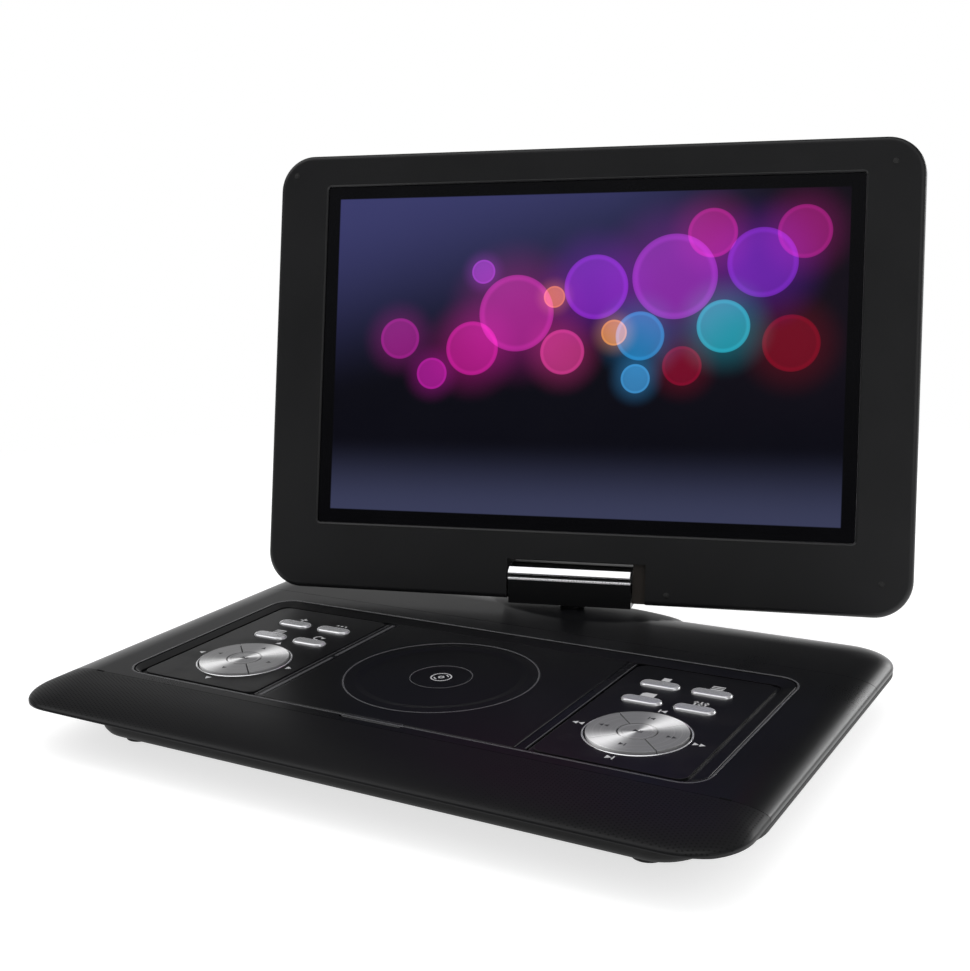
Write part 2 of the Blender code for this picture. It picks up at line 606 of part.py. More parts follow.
def make_drive():
    deck_top = CHASSIS_LEVEL + CHASSIS_THICKNESS
    half = CHASSIS_SIZE / 2
    middle = DISC_Y + CHASSIS_SHIFT
    chassis = part("drive_chassis", block((DISC_X - half, middle - half, CHASSIS_LEVEL),
                                          (DISC_X + half, middle + half, deck_top)), STEEL)
    reach = half - 2 * PILLAR_RADIUS
    for i, (sx, sy) in enumerate(((-1, -1), (1, -1), (-1, 1), (1, 1))):
        pillar = rod(PILLAR_RADIUS, (DISC_X + sx * reach, middle + sy * reach, deck_top - BITE),
                     TRAY_BOTTOM - GAP - deck_top + BITE, sides=12)
        combine(chassis, tool("chassis_pillar_%d" % i, pillar), "UNION")
    near = DISC_Y - (SLED_REST - SLED_TRAVEL_IN - SLED_LENGTH / 2) + 2 * GAP
    far = DISC_Y - (SLED_REST + SLED_TRAVEL_OUT + SLED_LENGTH / 2) - 2 * GAP
    rod_level = deck_top + GAP + SLED_HEIGHT / 2
    for name, x in (("guide", DISC_X + ROD_OFFSET), ("screw", DISC_X - ROD_OFFSET)):
        for end, y in (("near", near), ("far", far - ROD_TAB_THICKNESS)):
            tab = block((x - ROD_TAB_WIDTH / 2, y, deck_top - BITE),
                        (x + ROD_TAB_WIDTH / 2, y + ROD_TAB_THICKNESS, deck_top + SLED_HEIGHT))
            combine(chassis, tool("%s_tab_%s" % (name, end), tab), "UNION")
    rod_length = near - far - 2 * GAP
    guide = rod(ROD_RADIUS, (DISC_X + ROD_OFFSET, far + GAP, rod_level), rod_length, "Y", 14)
    part("guide_rod", guide, STEEL, smooth=True)
    screw_axis = pivot("lead_screw_pivot", (DISC_X - ROD_OFFSET, far + GAP, rod_level))
    part("lead_screw", rod(ROD_RADIUS, (0, 0, 0), rod_length, "Y", 14), STEEL, screw_axis, smooth=True)
    motor_level = CHASSIS_LEVEL - GAP - SLED_MOTOR_RADIUS
    motor = rod(SLED_MOTOR_RADIUS, (DISC_X - ROD_OFFSET, near, motor_level), SLED_MOTOR_LENGTH, "Y", 16)
    part("sled_motor", motor, STEEL, smooth=True)

    part("spindle_motor", rod(MOTOR_RADIUS, (DISC_X, DISC_Y, deck_top + GAP),
                              TRAY_BOTTOM - deck_top - 2 * GAP), STEEL, smooth=True)
    spindle = pivot("spindle", (DISC_X, DISC_Y, TRAY_BOTTOM))
    plate_top = WELL_FLOOR + TURNTABLE_RISE - TRAY_BOTTOM
    plate = rod(TURNTABLE_RADIUS, (0, 0, 0), plate_top)
    table = part("turntable", plate, GLOSS_BLACK, spindle, smooth=True)
    hub = rod(HUB_RADIUS, (0, 0, plate_top - BITE), HUB_TOP - TRAY_BOTTOM - plate_top + BITE)
    combine(table, tool("turntable_hub", hub, spindle), "UNION")

    sled_y = DISC_Y - SLED_REST
    body = slab((SLED_WIDTH, SLED_LENGTH, SLED_HEIGHT), (DISC_X, sled_y, rod_level))
    sled = part("pickup_sled", body, STEEL)
    base = rod_level + SLED_HEIGHT / 2 - BITE
    lens = rod(LENS_RADIUS, (DISC_X, sled_y, base), LENS_TOP - base, sides=20)
    combine(sled, tool("pickup_lens", lens), "UNION")
    for name, x in (("guide_bore", DISC_X + ROD_OFFSET), ("screw_bore", DISC_X - ROD_OFFSET)):
        bore = rod(ROD_RADIUS + GAP, (x, sled_y - SLED_LENGTH, rod_level), 2 * SLED_LENGTH, "Y", 14)
        combine(sled, tool(name, bore))


def make_electronics():
    level = WALL + BOSS_HEIGHT + GAP
    centre = (*MAIN_BOARD_CENTRE, level + MAIN_BOARD_SIZE[2] / 2)
    part("main_board", slab(MAIN_BOARD_SIZE, centre), BOARD_GREEN)
    cells = slab(BATTERY_SIZE, (*BATTERY_CENTRE, WALL + GAP + BATTERY_SIZE[2] / 2))
    part("battery_pack", cells, CELL_BLUE)
    speaker_y = FRONT_SEAM - GAP - SPEAKER_SIZE[1] / 2
    speaker_z = COVER_INSIDE - 2 * GAP - SPEAKER_SIZE[2] / 2
    for word, side in (("left", -1), ("right", 1)):
        box = slab(SPEAKER_SIZE, (side * SPEAKER_X, speaker_y, speaker_z))
        part(word + "_speaker", box, GRILLE_BLACK)

    face = -TUB_HALF_WIDTH + GAP
    body = slab(JACK_BLOCK_SIZE, (face + JACK_BLOCK_SIZE[0] / 2, JACK_BLOCK_Y, SOCKET_LEVEL))
    jacks = part("jack_block", body, SATIN_BLACK)
    pitch = JACK_BLOCK_SIZE[1] / len(JACK_RADII)
    for i, radius in enumerate(JACK_RADII):
        y = JACK_BLOCK_Y + (i - 1) * pitch
        socket = rod(radius, (face - OVERCUT, y, SOCKET_LEVEL), JACK_DEPTH + OVERCUT, "X", 20)
        combine(jacks, tool("jack_socket_%d" % i, socket))

    face = TUB_HALF_WIDTH - GAP
    body = slab(READER_SIZE, (face - READER_SIZE[0] / 2, READER_Y, SOCKET_LEVEL))
    port = part("usb_card_port", body, STEEL)
    for name, slot, shift in (("usb", USB_SLOT, USB_SHIFT), ("card", CARD_SLOT, CARD_SHIFT)):
        depth = READER_SIZE[0] - SLOT_BACK_WALL
        mouth = slab((2 * depth, *slot), (face, READER_Y + shift, SOCKET_LEVEL))
        combine(port, tool(name + "_mouth", mouth))
    switch_x = TUB_HALF_WIDTH + SWITCH_PROUD - SWITCH_SIZE[0] / 2
    knob = slab(SWITCH_SIZE, (switch_x, SWITCH_Y - SWITCH_TRAVEL / 2, SOCKET_LEVEL))
    part("power_switch", knob, SATIN_BLACK)


# Swivel and screen
def make_swivel():
    turn = pivot("swivel", (SWIVEL_X, SWIVEL_Y, AXIS_Z), (0.0, 0.0, SWIVEL_ANGLE))
    post_top = -BARREL_DROP - GAP
    post_low = POST_BOTTOM - AXIS_Z
    part("swivel_post", rod(POST_RADIUS, (0, 0, post_low), post_top - post_low), STEEL, turn, smooth=True)
    sleeve = rod(BUSHING_RADIUS, (SWIVEL_X, SWIVEL_Y, POST_BOTTOM), BUSHING_TOP - POST_BOTTOM)
    bushing = part("swivel_bushing", sleeve, RUBBER)
    combine(bushing, tool("bushing_bore", rod(POST_RADIUS + GAP, (SWIVEL_X, SWIVEL_Y, 0), 2 * COVER_TOP)))

    front, top, bottom = -BARREL_HALF_DEPTH, BARREL_TOP, -BARREL_DROP
    groove = front - TRIM_PROUD + TRIM_LOWER_DEPTH + GAP
    profile = [(front, bottom), (-front, bottom), (-front, top / 2)]
    profile += arc((-front - top / 2, top / 2), top / 2, 30, 90, 3)
    profile += [(front + BARREL_SLOPE, top), (front, top - BARREL_SLOPE), (front, TRIM_LOWER[1] + GAP),
                (groove, TRIM_LOWER[1] + GAP), (groove, TRIM_LOWER[0] - GAP), (front, TRIM_LOWER[0] - GAP)]
    body = prism(profile, -BARREL_HALF_WIDTH, BARREL_HALF_WIDTH, "X")
    barrel = part("hinge_barrel", body, SATIN_BLACK, turn)
    for side in (-1, 1):
        length = BARREL_HALF_WIDTH - PIN_INNER + OVERCUT
        start = PIN_INNER if side > 0 else -PIN_INNER - length
        bore = rod(PIN_RADIUS + GAP, (start, 0, 0), length, "X", 18)
        combine(barrel, tool("barrel_bore_%d" % (side + 1), bore, turn))
    slope = pivot("trim_slope", (0.0, front, top - BARREL_SLOPE), (45.0, 0.0, 0.0), turn)
    reach = BARREL_SLOPE * math.sqrt(2.0) - TRIM_UPPER_INSET
    upper = rounded(TRIM_UPPER_INSET, reach, GAP, GAP + TRIM_UPPER_THICKNESS, TRIM_UPPER_THICKNESS / 3, 3)
    bar = prism(upper, -BARREL_HALF_WIDTH, BARREL_HALF_WIDTH, "X")
    part("hinge_trim_upper", bar, CHROME, slope)
    face = front - TRIM_PROUD
    corner = (TRIM_LOWER[1] - TRIM_LOWER[0]) / 3
    lower = rounded(face, face + TRIM_LOWER_DEPTH, *TRIM_LOWER, corner, 3)
    part("hinge_trim_lower", prism(lower, -BARREL_HALF_WIDTH, BARREL_HALF_WIDTH, "X"), CHROME, turn)
    for word, side in (("left", -1), ("right", 1)):
        length = NOTCH_HALF_WIDTH + 2 * SCREEN_WALL - PIN_INNER + side * SCREEN_SHIFT
        start = PIN_INNER + GAP if side > 0 else -PIN_INNER - GAP - length
        pin = rod(PIN_RADIUS, (start, 0, 0), length, "X", 18)
        part("tilt_pin_" + word, pin, STEEL, turn, smooth=True)
    return turn


def screen_outline(inset):
    half = SCREEN_WIDTH / 2 - inset
    radius = max(SCREEN_CORNER - inset, MIN_CORNER)
    return rounded(-half, half, SCREEN_BOTTOM + inset, SCREEN_TOP - inset, radius)


def hollow_outline(inset):
    """Inner outline of a screen half, stepping round the hinge notch."""
    half = SCREEN_WIDTH / 2 - inset
    low, high = SCREEN_BOTTOM + inset, SCREEN_TOP - inset
    side, roof = NOTCH_HALF_WIDTH + SCREEN_WALL, NOTCH_TOP + SCREEN_WALL
    return [(half, high), (-half, high), (-half, low), (-side, low), (-side, roof), (side, roof),
            (side, low), (half, low)]


def make_screen(turn):
    tilt = pivot("tilt", (SCREEN_SHIFT, 0.0, 0.0), (-TILT_ANGLE, 0.0, 0.0), turn)
    back = -SCREEN_FRONT
    gap_low, gap_high = (-NOTCH_HALF_WIDTH, -REACH, -REACH), (NOTCH_HALF_WIDTH, REACH, NOTCH_TOP)
    notch = tool("hinge_notch", block(gap_low, gap_high), tilt)
    reach = NOTCH_HALF_WIDTH + 3 * SCREEN_WALL
    holes = rod(KNUCKLE_RADIUS + GAP, (-reach, 0, 0), 2 * reach, "X")
    knuckle_hole = tool("knuckle_holes", holes, tilt)

    rings = [(screen_outline(inset), SCREEN_FRONT + depth) for inset, depth in BEZEL_PROFILE]
    rings.append((screen_outline(0.0), SCREEN_SEAM))
    bezel = part("screen_bezel", loft(rings, "Y"), SATIN_BLACK, tilt, smooth=True)
    inside = hollow_outline(SCREEN_WALL)
    hollow = prism(inside, SCREEN_FRONT + SCREEN_WALL, SCREEN_SEAM + OVERCUT, "Y")
    combine(bezel, tool("bezel_hollow", hollow, tilt))
    window = rounded(-OPENING_HALF_WIDTH, OPENING_HALF_WIDTH, OPENING_BOTTOM, OPENING_TOP, WINDOW_CORNER, 3)
    combine(bezel, tool("bezel_window", prism(window, SCREEN_FRONT - OVERCUT, SCREEN_SEAM, "Y"), tilt))

    start = SCREEN_SEAM + GAP
    depth = back - start
    dome = [(screen_outline(inset), start + share * depth) for inset, share in DOME_PROFILE]
    rear = part("screen_rear_cover", loft(dome, "Y"), SATIN_BLACK, tilt, smooth=True)
    bowl = [(hollow_outline(SCREEN_WALL), start - OVERCUT),
            (hollow_outline(2 * SCREEN_WALL), start + BOWL_SHARE * depth),
            (hollow_outline(BOWL_INSET), back - SCREEN_WALL)]
    combine(rear, tool("rear_hollow", loft(bowl, "Y"), tilt))
    for shell in (bezel, rear):
        combine(shell, notch)
        combine(shell, knuckle_hole)

    glass_front = SCREEN_FRONT + GLASS_SINK
    glass = rounded(-OPENING_HALF_WIDTH + GAP, OPENING_HALF_WIDTH - GAP, OPENING_BOTTOM + GAP,
                    OPENING_TOP - GAP, WINDOW_CORNER - GAP, 3)
    part("screen_glass", prism(glass, glass_front, glass_front + GLASS_THICKNESS, "Y"), SCREEN_GLASS, tilt)
    module_front = glass_front + GLASS_THICKNESS + GAP
    half = OPENING_HALF_WIDTH + MODULE_OVERLAP
    module = block((-half, module_front, OPENING_BOTTOM - MODULE_OVERLAP),
                   (half, module_front + MODULE_DEPTH, OPENING_TOP + MODULE_OVERLAP))
    part("lcd_module", module, STEEL, tilt)

    for word, side in (("left", -1), ("right", 1)):
        inner = BARREL_HALF_WIDTH + 2 * GAP - side * SCREEN_SHIFT
        plate_start = NOTCH_HALF_WIDTH + SCREEN_WALL + GAP
        length = plate_start + BRACKET_ENTRY - inner
        begin = inner if side > 0 else -inner - length
        knuckle = rod(KNUCKLE_RADIUS, (begin, 0, 0), length, "X")
        bracket = part("hinge_bracket_" + word, knuckle, STEEL, tilt)
        width, thick, height = BRACKET_SIZE
        plate_low = module_front + MODULE_DEPTH + GAP
        sides = sorted((side * plate_start, side * (plate_start + width)))
        plate = block((sides[0], plate_low, SCREEN_BOTTOM + 2 * SCREEN_WALL),
                      (sides[1], plate_low + thick, height))
        combine(bracket, tool("bracket_plate_" + word, plate, tilt), "UNION")
        bore = rod(PIN_RADIUS + GAP, (begin - OVERCUT, 0, 0), length + 2 * OVERCUT, "X", 18)
        combine(bracket, tool("bracket_bore_" + word, bore, tilt))


make_base_shell()
make_bottom_housing()
make_key_panel("left", -1)
make_key_panel("right", 1)
make_lid()
make_disc_tray()
make_drive()
make_electronics()
make_screen(make_swivel())
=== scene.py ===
"""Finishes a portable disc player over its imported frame: covers, keys, drive, hinge, screen and stage.

Shapes are worked out in millimetres, and MM turns them into Blender's metres.
"""
import json
import math

import bmesh
import bpy
from bpy.props import FloatProperty, FloatVectorProperty, PointerProperty
from mathutils import Euler, Matrix, Vector


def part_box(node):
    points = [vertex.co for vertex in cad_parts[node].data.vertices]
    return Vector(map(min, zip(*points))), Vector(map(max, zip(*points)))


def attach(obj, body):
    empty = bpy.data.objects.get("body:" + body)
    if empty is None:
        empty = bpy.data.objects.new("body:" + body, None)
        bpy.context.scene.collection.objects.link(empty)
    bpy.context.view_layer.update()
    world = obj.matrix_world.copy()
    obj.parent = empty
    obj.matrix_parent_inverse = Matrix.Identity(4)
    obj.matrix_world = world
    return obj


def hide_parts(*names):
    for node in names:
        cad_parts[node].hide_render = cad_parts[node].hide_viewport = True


bl_info = {
    "name": "Portable Disc Player",
    "version": (1, 0, 0),
    "blender": (4, 5, 0),
    "location": "View3D > Sidebar > Disc Player",
    "description": "Builds the finished pieces of a portable disc player over its frame",
    "category": "Add Mesh",
}

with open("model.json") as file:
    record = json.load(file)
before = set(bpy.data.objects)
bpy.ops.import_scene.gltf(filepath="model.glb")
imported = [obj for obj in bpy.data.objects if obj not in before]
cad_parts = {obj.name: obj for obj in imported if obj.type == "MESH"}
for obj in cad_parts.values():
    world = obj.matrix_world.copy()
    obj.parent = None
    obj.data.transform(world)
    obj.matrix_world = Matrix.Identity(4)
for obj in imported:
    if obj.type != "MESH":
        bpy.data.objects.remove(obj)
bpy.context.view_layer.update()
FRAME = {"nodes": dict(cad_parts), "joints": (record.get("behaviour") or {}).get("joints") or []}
NODES = FRAME["nodes"]
JOINTS = {joint["name"]: joint for joint in FRAME["joints"]}

MM = 0.001
GAP = 0.3
WALL = 2.4
FINE = 14
SIDES = ("left", "right")
SECTORS = (("right", 0), ("back", 90), ("left", 180), ("front", 270))


def span(node):
    """Lowest and highest corner of a node, in millimetres."""
    low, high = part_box(node)
    return low / MM, high / MM


# Levels and places that the frame gives
BASE_LOW = Vector((span("top_cover")[0].x, span("front_grille")[0].y, span("foot_1")[0].z))
FLANGE_FRONT = span("bottom_housing")[0].y
BASE_HIGH = Vector((span("top_cover")[1].x, span("rear_cover")[1].y, span("top_cover")[1].z))
COVER_LOW = span("top_cover")[0]
COVER_TOP = span("top_cover")[1].z
PANEL_LOW, PANEL_HIGH = span("right_panel")
PANEL_TOP = PANEL_HIGH.z
DECK_HALF = PANEL_HIGH.x + GAP
DECK_FRONT = PANEL_LOW.y - GAP
DECK_REAR = PANEL_HIGH.y + GAP
KEY_LOW, KEY_HIGH = span("right_dial_centre")
DIAL = (KEY_LOW + KEY_HIGH) / 2
HUB_RADIUS = (KEY_HIGH.x - KEY_LOW.x) / 2
DIAL_RADIUS = span("right_dial_right")[1].x - DIAL.x
SPIN_AXIS = Vector(JOINTS["turntable_spin"]["pos_m"]) / MM
TILT_AXIS = Vector(JOINTS["screen_tilt"]["axis"])
SWIVEL = Matrix.Translation(Vector(JOINTS["screen_swivel"]["pos_m"])) @ Matrix.Rotation(
    math.atan2(TILT_AXIS.y, TILT_AXIS.x), 4, "Z")
LEAN = math.radians(JOINTS["screen_tilt"]["range_deg"][1] - 90.0)
TILTED = SWIVEL @ Matrix.Rotation(-LEAN, 4, "X")


def local_span(node, frame):
    """Lowest and highest corner of a node in a turned frame, in millimetres."""
    back = frame.inverted()
    points = [back @ vertex.co / MM for vertex in NODES[node].data.vertices]
    return [Vector(pick(p[i] for p in points) for i in range(3)) for pick in (min, max)]


SCREEN_SHIFT = sum(corner.x for corner in local_span("screen_glass", TILTED)) / 2
SCREEN = TILTED @ Matrix.Translation((SCREEN_SHIFT * MM, 0.0, 0.0))
CASE_LOW, BEZEL_HIGH = local_span("screen_bezel", SCREEN)
BACK_LOW, CASE_HIGH = local_span("screen_rear_cover", SCREEN)
GLASS_LOW, GLASS_HIGH = local_span("screen_glass", SCREEN)


# Settings that a user would change
class PlayerShape(bpy.types.PropertyGroup):
    """Sizes of the visible details, in millimetres."""
    roll_side: FloatProperty(name="Side Roll", description="Width of the roll along the base's sides", default=20.0)
    roll_front: FloatProperty(name="Front Roll", description="Width of the roll along the front", default=36.0)
    roll_rear: FloatProperty(name="Rear Roll", description="Width of the roll along the rear", default=24.0)
    roll_drop: FloatProperty(name="Roll Drop", description="How far the roll falls to the rim", default=5.0)
    nose_rise: FloatProperty(name="Nose Rise", description="Lift of the front rim's underside", default=1.1)
    nose_depth: FloatProperty(name="Nose Depth", description="Depth of the lifted underside", default=8.0)
    base_corner: FloatProperty(name="Base Corner", description="Radius of the base's corners", default=28.0)
    hole_pitch: FloatProperty(name="Grille Pitch", description="Spacing of the grille's holes", default=1.75)
    hole_radius: FloatProperty(name="Grille Hole", description="Radius of a grille hole", default=0.46)
    ring_outer: FloatProperty(name="Lid Ring", description="Outer radius of the lid's ring", default=50.0)
    ring_inner: FloatProperty(name="Lid Ring Inside", description="Inner radius of the lid's ring", default=42.6)
    dish: FloatProperty(name="Lid Dish", description="Radius of the dish in the lid's middle", default=16.0)
    screen_corner: FloatProperty(name="Screen Corner", description="Radius of the screen's corners", default=21.0)


class PlayerFinish(bpy.types.PropertyGroup):
    """Colours and grain of the finishes."""
    case: FloatVectorProperty(name="Case", description="Moulded case colour", subtype="COLOR",
                              default=(0.0044, 0.0045, 0.0052), min=0.0, max=1.0)
    panel: FloatVectorProperty(name="Panels", description="Gloss panel colour", subtype="COLOR",
                               default=(0.0030, 0.0030, 0.0036), min=0.0, max=1.0)
    grille: FloatVectorProperty(name="Grille", description="Speaker strip colour", subtype="COLOR",
                                default=(0.0045, 0.0045, 0.0053), min=0.0, max=1.0)
    metal: FloatVectorProperty(name="Keys", description="Spun and plated metal colour", subtype="COLOR",
                               default=(0.80, 0.80, 0.82), min=0.0, max=1.0)
    printing: FloatVectorProperty(name="Marks", description="Printed marks", subtype="COLOR",
                                  default=(0.50, 0.50, 0.51), min=0.0, max=1.0)
    grain: FloatProperty(name="Grain", description="Size of the moulded grain in millimetres", default=0.55)


class PlayerStage(bpy.types.PropertyGroup):
    """Camera and light."""
    place: FloatVectorProperty(name="Camera", description="Camera position", subtype="TRANSLATION",
                               unit="LENGTH", default=(0.3576, -0.5768, 0.2753))
    yaw: FloatProperty(name="Yaw", description="Turn to the left of straight ahead", subtype="ANGLE",
                       default=math.radians(30.53))
    pitch: FloatProperty(name="Pitch", description="Tilt below the horizon", subtype="ANGLE",
                         default=math.radians(12.53))
    roll: FloatProperty(name="Roll", description="Turn about the line of sight", subtype="ANGLE",
                        default=math.radians(-1.74))
    lens: FloatProperty(name="Lens", description="Focal length in millimetres", default=51.74)
    floor: FloatVectorProperty(name="Floor", description="Floor colour", subtype="COLOR",
                               default=(0.90, 0.90, 0.90), min=0.0, max=1.0)
    sky: FloatProperty(name="Sky", description="Strength of the light from all round", default=0.80)
    front: FloatProperty(name="Front", description="Brightness of the room behind the camera", default=0.04)


# Node trees
class Signal:
    """A node's socket that takes part in Python arithmetic."""

    def __init__(self, graph, socket):
        self.graph = graph
        self.socket = socket

    def pair(self, operation, first, second):
        return self.graph.node("ShaderNodeMath", {"operation": operation}, {0: first, 1: second})

    def __add__(self, other):
        return self.pair("ADD", self, other)

    def __radd__(self, other):
        return self.pair("ADD", other, self)

    def __sub__(self, other):
        return self.pair("SUBTRACT", self, other)

    def __rsub__(self, other):
        return self.pair("SUBTRACT", other, self)

    def __mul__(self, other):
        return self.pair("MULTIPLY", self, other)

    def __rmul__(self, other):
        return self.pair("MULTIPLY", other, self)

    def __truediv__(self, other):
        return self.pair("DIVIDE", self, other)

    def __pow__(self, other):
        return self.pair("POWER", self, other)

    def __mod__(self, other):
        return self.pair("FLOORED_MODULO", self, other)

    def __lt__(self, other):
        return self.pair("LESS_THAN", self, other)

    def __gt__(self, other):
        return self.pair("GREATER_THAN", self, other)

    def __abs__(self):
        return self.single("ABSOLUTE")

    def single(self, operation):
        return self.graph.node("ShaderNodeMath", {"operation": operation}, {0: self})

    def highest(self, other):
        return self.pair("MAXIMUM", self, other)

    def lowest(self, other):
        return self.pair("MINIMUM", self, other)

    def step(self, start, end):
        """0 before start, 1 after end, smooth between."""
        low, high = (start, end) if start < end else (end, start)
        rise = self.graph.node("ShaderNodeMapRange", {"interpolation_type": "SMOOTHSTEP"},
                               {"Value": self, "From Min": low, "From Max": high})
        return rise if start < end else 1.0 - rise

    def axes(self):
        """The X, Y and Z parts of a vector."""
        split = self.graph.tree.nodes.new("ShaderNodeSeparateXYZ")
        self.graph.tree.links.new(self.socket, split.inputs[0])
        return [Signal(self.graph, socket) for socket in split.outputs]


class Graph:
    """A node tree that is written one call per node."""

    def __init__(self, tree):
        self.tree = tree

    def node(self, kind, settings=None, values=None, output=0):
        """One node: its type, its settings, then the values or links of its sockets."""
        made = self.tree.nodes.new(kind)
        for key, value in (settings or {}).items():
            if key == "stops":
                ramp = made.color_ramp
                while len(ramp.elements) < len(value):
                    ramp.elements.new(1.0)
                for element, (place, colour) in zip(ramp.elements, value):
                    element.position = place
                    element.color = (*colour, 1.0)
            else:
                setattr(made, key, value)
        for key, value in (values or {}).items():
            socket = made.inputs[key]
            if isinstance(value, Signal):
                self.tree.links.new(value.socket, socket)
            else:
                socket.default_value = value
        return Signal(self, made.outputs[output])

    def blend(self, share, first, second, kind="MIX"):
        """A colour between two colours."""
        ends = [(*end, 1.0) if isinstance(end, tuple) and len(end) == 3 else end for end in (first, second)]
        return self.node("ShaderNodeMix", {"data_type": "RGBA", "blend_type": kind},
                         {0: share, 6: ends[0], 7: ends[1]}, output=2)


class Paint(Graph):
    """A material: patterns on Object coordinates that feed one Principled shader."""

    def __init__(self, name):
        self.material = bpy.data.materials.new(name)
        self.material.use_nodes = True
        self.material.node_tree.nodes.clear()
        super().__init__(self.material.node_tree)
        self.place = self.node("ShaderNodeTexCoord", output="Object")

    def turned(self, location, rotation, scale=(1.0, 1.0, 1.0)):
        """Coordinates in a frame that is moved and turned, with lengths divided by scale."""
        return self.node("ShaderNodeMapping", {"vector_type": "TEXTURE"},
                         {"Vector": self.place, "Location": location, "Rotation": rotation, "Scale": scale})

    def noise(self, size, detail=2.0, vector=None):
        """Noise from 0 to 1 whose features are about size millimetres."""
        return self.node("ShaderNodeTexNoise", None,
                         {"Vector": vector or self.place, "Scale": 1.0 / (size * MM), "Detail": detail})

    def bump(self, height, strength, depth):
        """A normal from a height, depth in millimetres."""
        return self.node("ShaderNodeBump", None,
                         {"Height": height, "Strength": strength, "Distance": depth * MM})

    def surface(self, **values):
        """Ends the material in a Principled shader; socket names are written with underscores."""
        shader = self.node("ShaderNodeBsdfPrincipled", None,
                           {key.replace("_", " "): value for key, value in values.items()})
        self.node_output(shader)
        return self.material

    def node_output(self, shader):
        end = self.tree.nodes.new("ShaderNodeOutputMaterial")
        self.tree.links.new(shader.socket, end.inputs["Surface"])


def tinted(colour, share):
    return tuple(min(1.0, part * share) for part in colour)


# Finishes
def moulded(name, colour, roughness, grain, depth=0.02, polish=0.5):
    """Spark-grained plastic with faint handling marks."""
    paint = Paint(name)
    fine = paint.noise(grain, 3.0)
    broad = paint.noise(45.0, 3.0)
    shade = paint.blend(broad * 0.6 + fine * 0.4, tinted(colour, 0.75), tinted(colour, 1.3))
    return paint.surface(Base_Color=shade, Roughness=roughness + (broad - 0.5) * 0.10 + (fine - 0.5) * 0.08,
                         Specular_IOR_Level=polish, Normal=paint.bump(fine, 0.35, depth))


def glossy(name, colour, roughness, coat=0.0):
    """Polished plastic with a faint orange peel and smudges."""
    paint = Paint(name)
    smudge = paint.noise(22.0, 4.0)
    peel = paint.noise(3.5, 1.0)
    shade = paint.blend(smudge, tinted(colour, 0.85), tinted(colour, 1.2))
    return paint.surface(Base_Color=shade, Roughness=roughness + (smudge.step(0.45, 0.75)) * 0.10,
                         Coat_Weight=coat, Normal=paint.bump(peel, 0.05, 0.02))


def spun(name, colour):
    """Lathe-turned metal: fine rings about each dial's middle, and a painted highlight: two lighter lobes by angle
    round each dial, painted into the colour.
    """
    paint = Paint(name)
    x, y, _ = paint.place.axes()
    across, along = abs(x) - DIAL.x * MM, y - DIAL.y * MM
    radius = (across * across + along * along).single("SQRT")
    ring = paint.node("ShaderNodeCombineXYZ", None, {"X": radius})
    marks = paint.noise(0.16, 2.0, ring)
    wide = paint.noise(0.9, 1.0, ring)
    # Painted highlight: the angle round each dial's middle gives two bright lobes painted into the base colour,
    # darker between them.
    angle = along.pair("ARCTAN2", along, x - (x.single("SIGN") * (DIAL.x * MM)))
    highlight_lobe = (angle * 2.0 - math.radians(118.0)).single("COSINE") * 0.5 + 0.5
    painted_sheen = highlight_lobe ** 6.0
    shade = paint.blend(painted_sheen * 0.95 + (wide - 0.5) * 0.20 + 0.04, tinted(colour, 0.20), tinted(colour, 1.25))
    return paint.surface(Base_Color=shade, Metallic=0.12, Roughness=0.30 + (marks - 0.5) * 0.16,
                         Normal=paint.bump(marks, 0.55, 0.012))


def plated(name, colour, roughness=0.07, metallic=1.0):
    """Bright plating with a slight ripple."""
    paint = Paint(name)
    cloud = paint.noise(6.0, 3.0)
    shade = paint.blend(cloud, tinted(colour, 0.94), tinted(colour, 1.06))
    return paint.surface(Base_Color=shade, Metallic=metallic, Roughness=roughness + (cloud - 0.5) * 0.05,
                         Normal=paint.bump(cloud, 0.06, 0.02))


def satin(name, colour):
    """Matt silver paint over metal."""
    paint = Paint(name)
    speck = paint.noise(0.8, 3.0)
    return paint.surface(Base_Color=paint.blend(speck, tinted(colour, 0.93), tinted(colour, 1.05)), Metallic=0.35,
                         Roughness=0.28 + (speck - 0.5) * 0.1, Normal=paint.bump(speck, 0.08, 0.01))


def brushed(name, colour, roughness=0.34):
    """Metal with fine lines along X."""
    paint = Paint(name)
    lines = paint.noise(0.25, 2.0, paint.turned((0, 0, 0), (0, 0, 0), (40.0, 1.0, 1.0)))
    shade = paint.blend(lines, tinted(colour, 0.8), tinted(colour, 1.15))
    return paint.surface(Base_Color=shade, Metallic=1.0, Roughness=roughness + (lines - 0.5) * 0.2,
                         Normal=paint.bump(lines, 0.15, 0.01))


def soft_rubber(name, colour):
    paint = Paint(name)
    grit = paint.noise(0.7, 4.0)
    shade = paint.blend(grit, tinted(colour, 0.7), tinted(colour, 1.4))
    return paint.surface(Base_Color=shade, Roughness=0.82 + (grit - 0.5) * 0.15, Normal=paint.bump(grit, 0.4, 0.05))


def solder_mask(name, colour):
    """Circuit board: dark tracks under green varnish."""
    paint = Paint(name)
    cells = paint.node("ShaderNodeTexVoronoi", {"distance": "MANHATTAN", "feature": "DISTANCE_TO_EDGE"},
                       {"Vector": paint.place, "Scale": 180.0})
    track = cells.step(0.04, 0.10)
    shade = paint.blend(track, tinted(colour, 1.9), colour)
    return paint.surface(Base_Color=shade, Roughness=0.35 + track * 0.15, Normal=paint.bump(track, 0.2, 0.03))


def ink(name, colour):
    """Screen printing, a little uneven."""
    paint = Paint(name)
    speck = paint.noise(0.6, 3.0)
    return paint.surface(Base_Color=paint.blend(speck, tinted(colour, 0.8), tinted(colour, 1.15)),
                         Roughness=0.5 + (speck - 0.5) * 0.2)


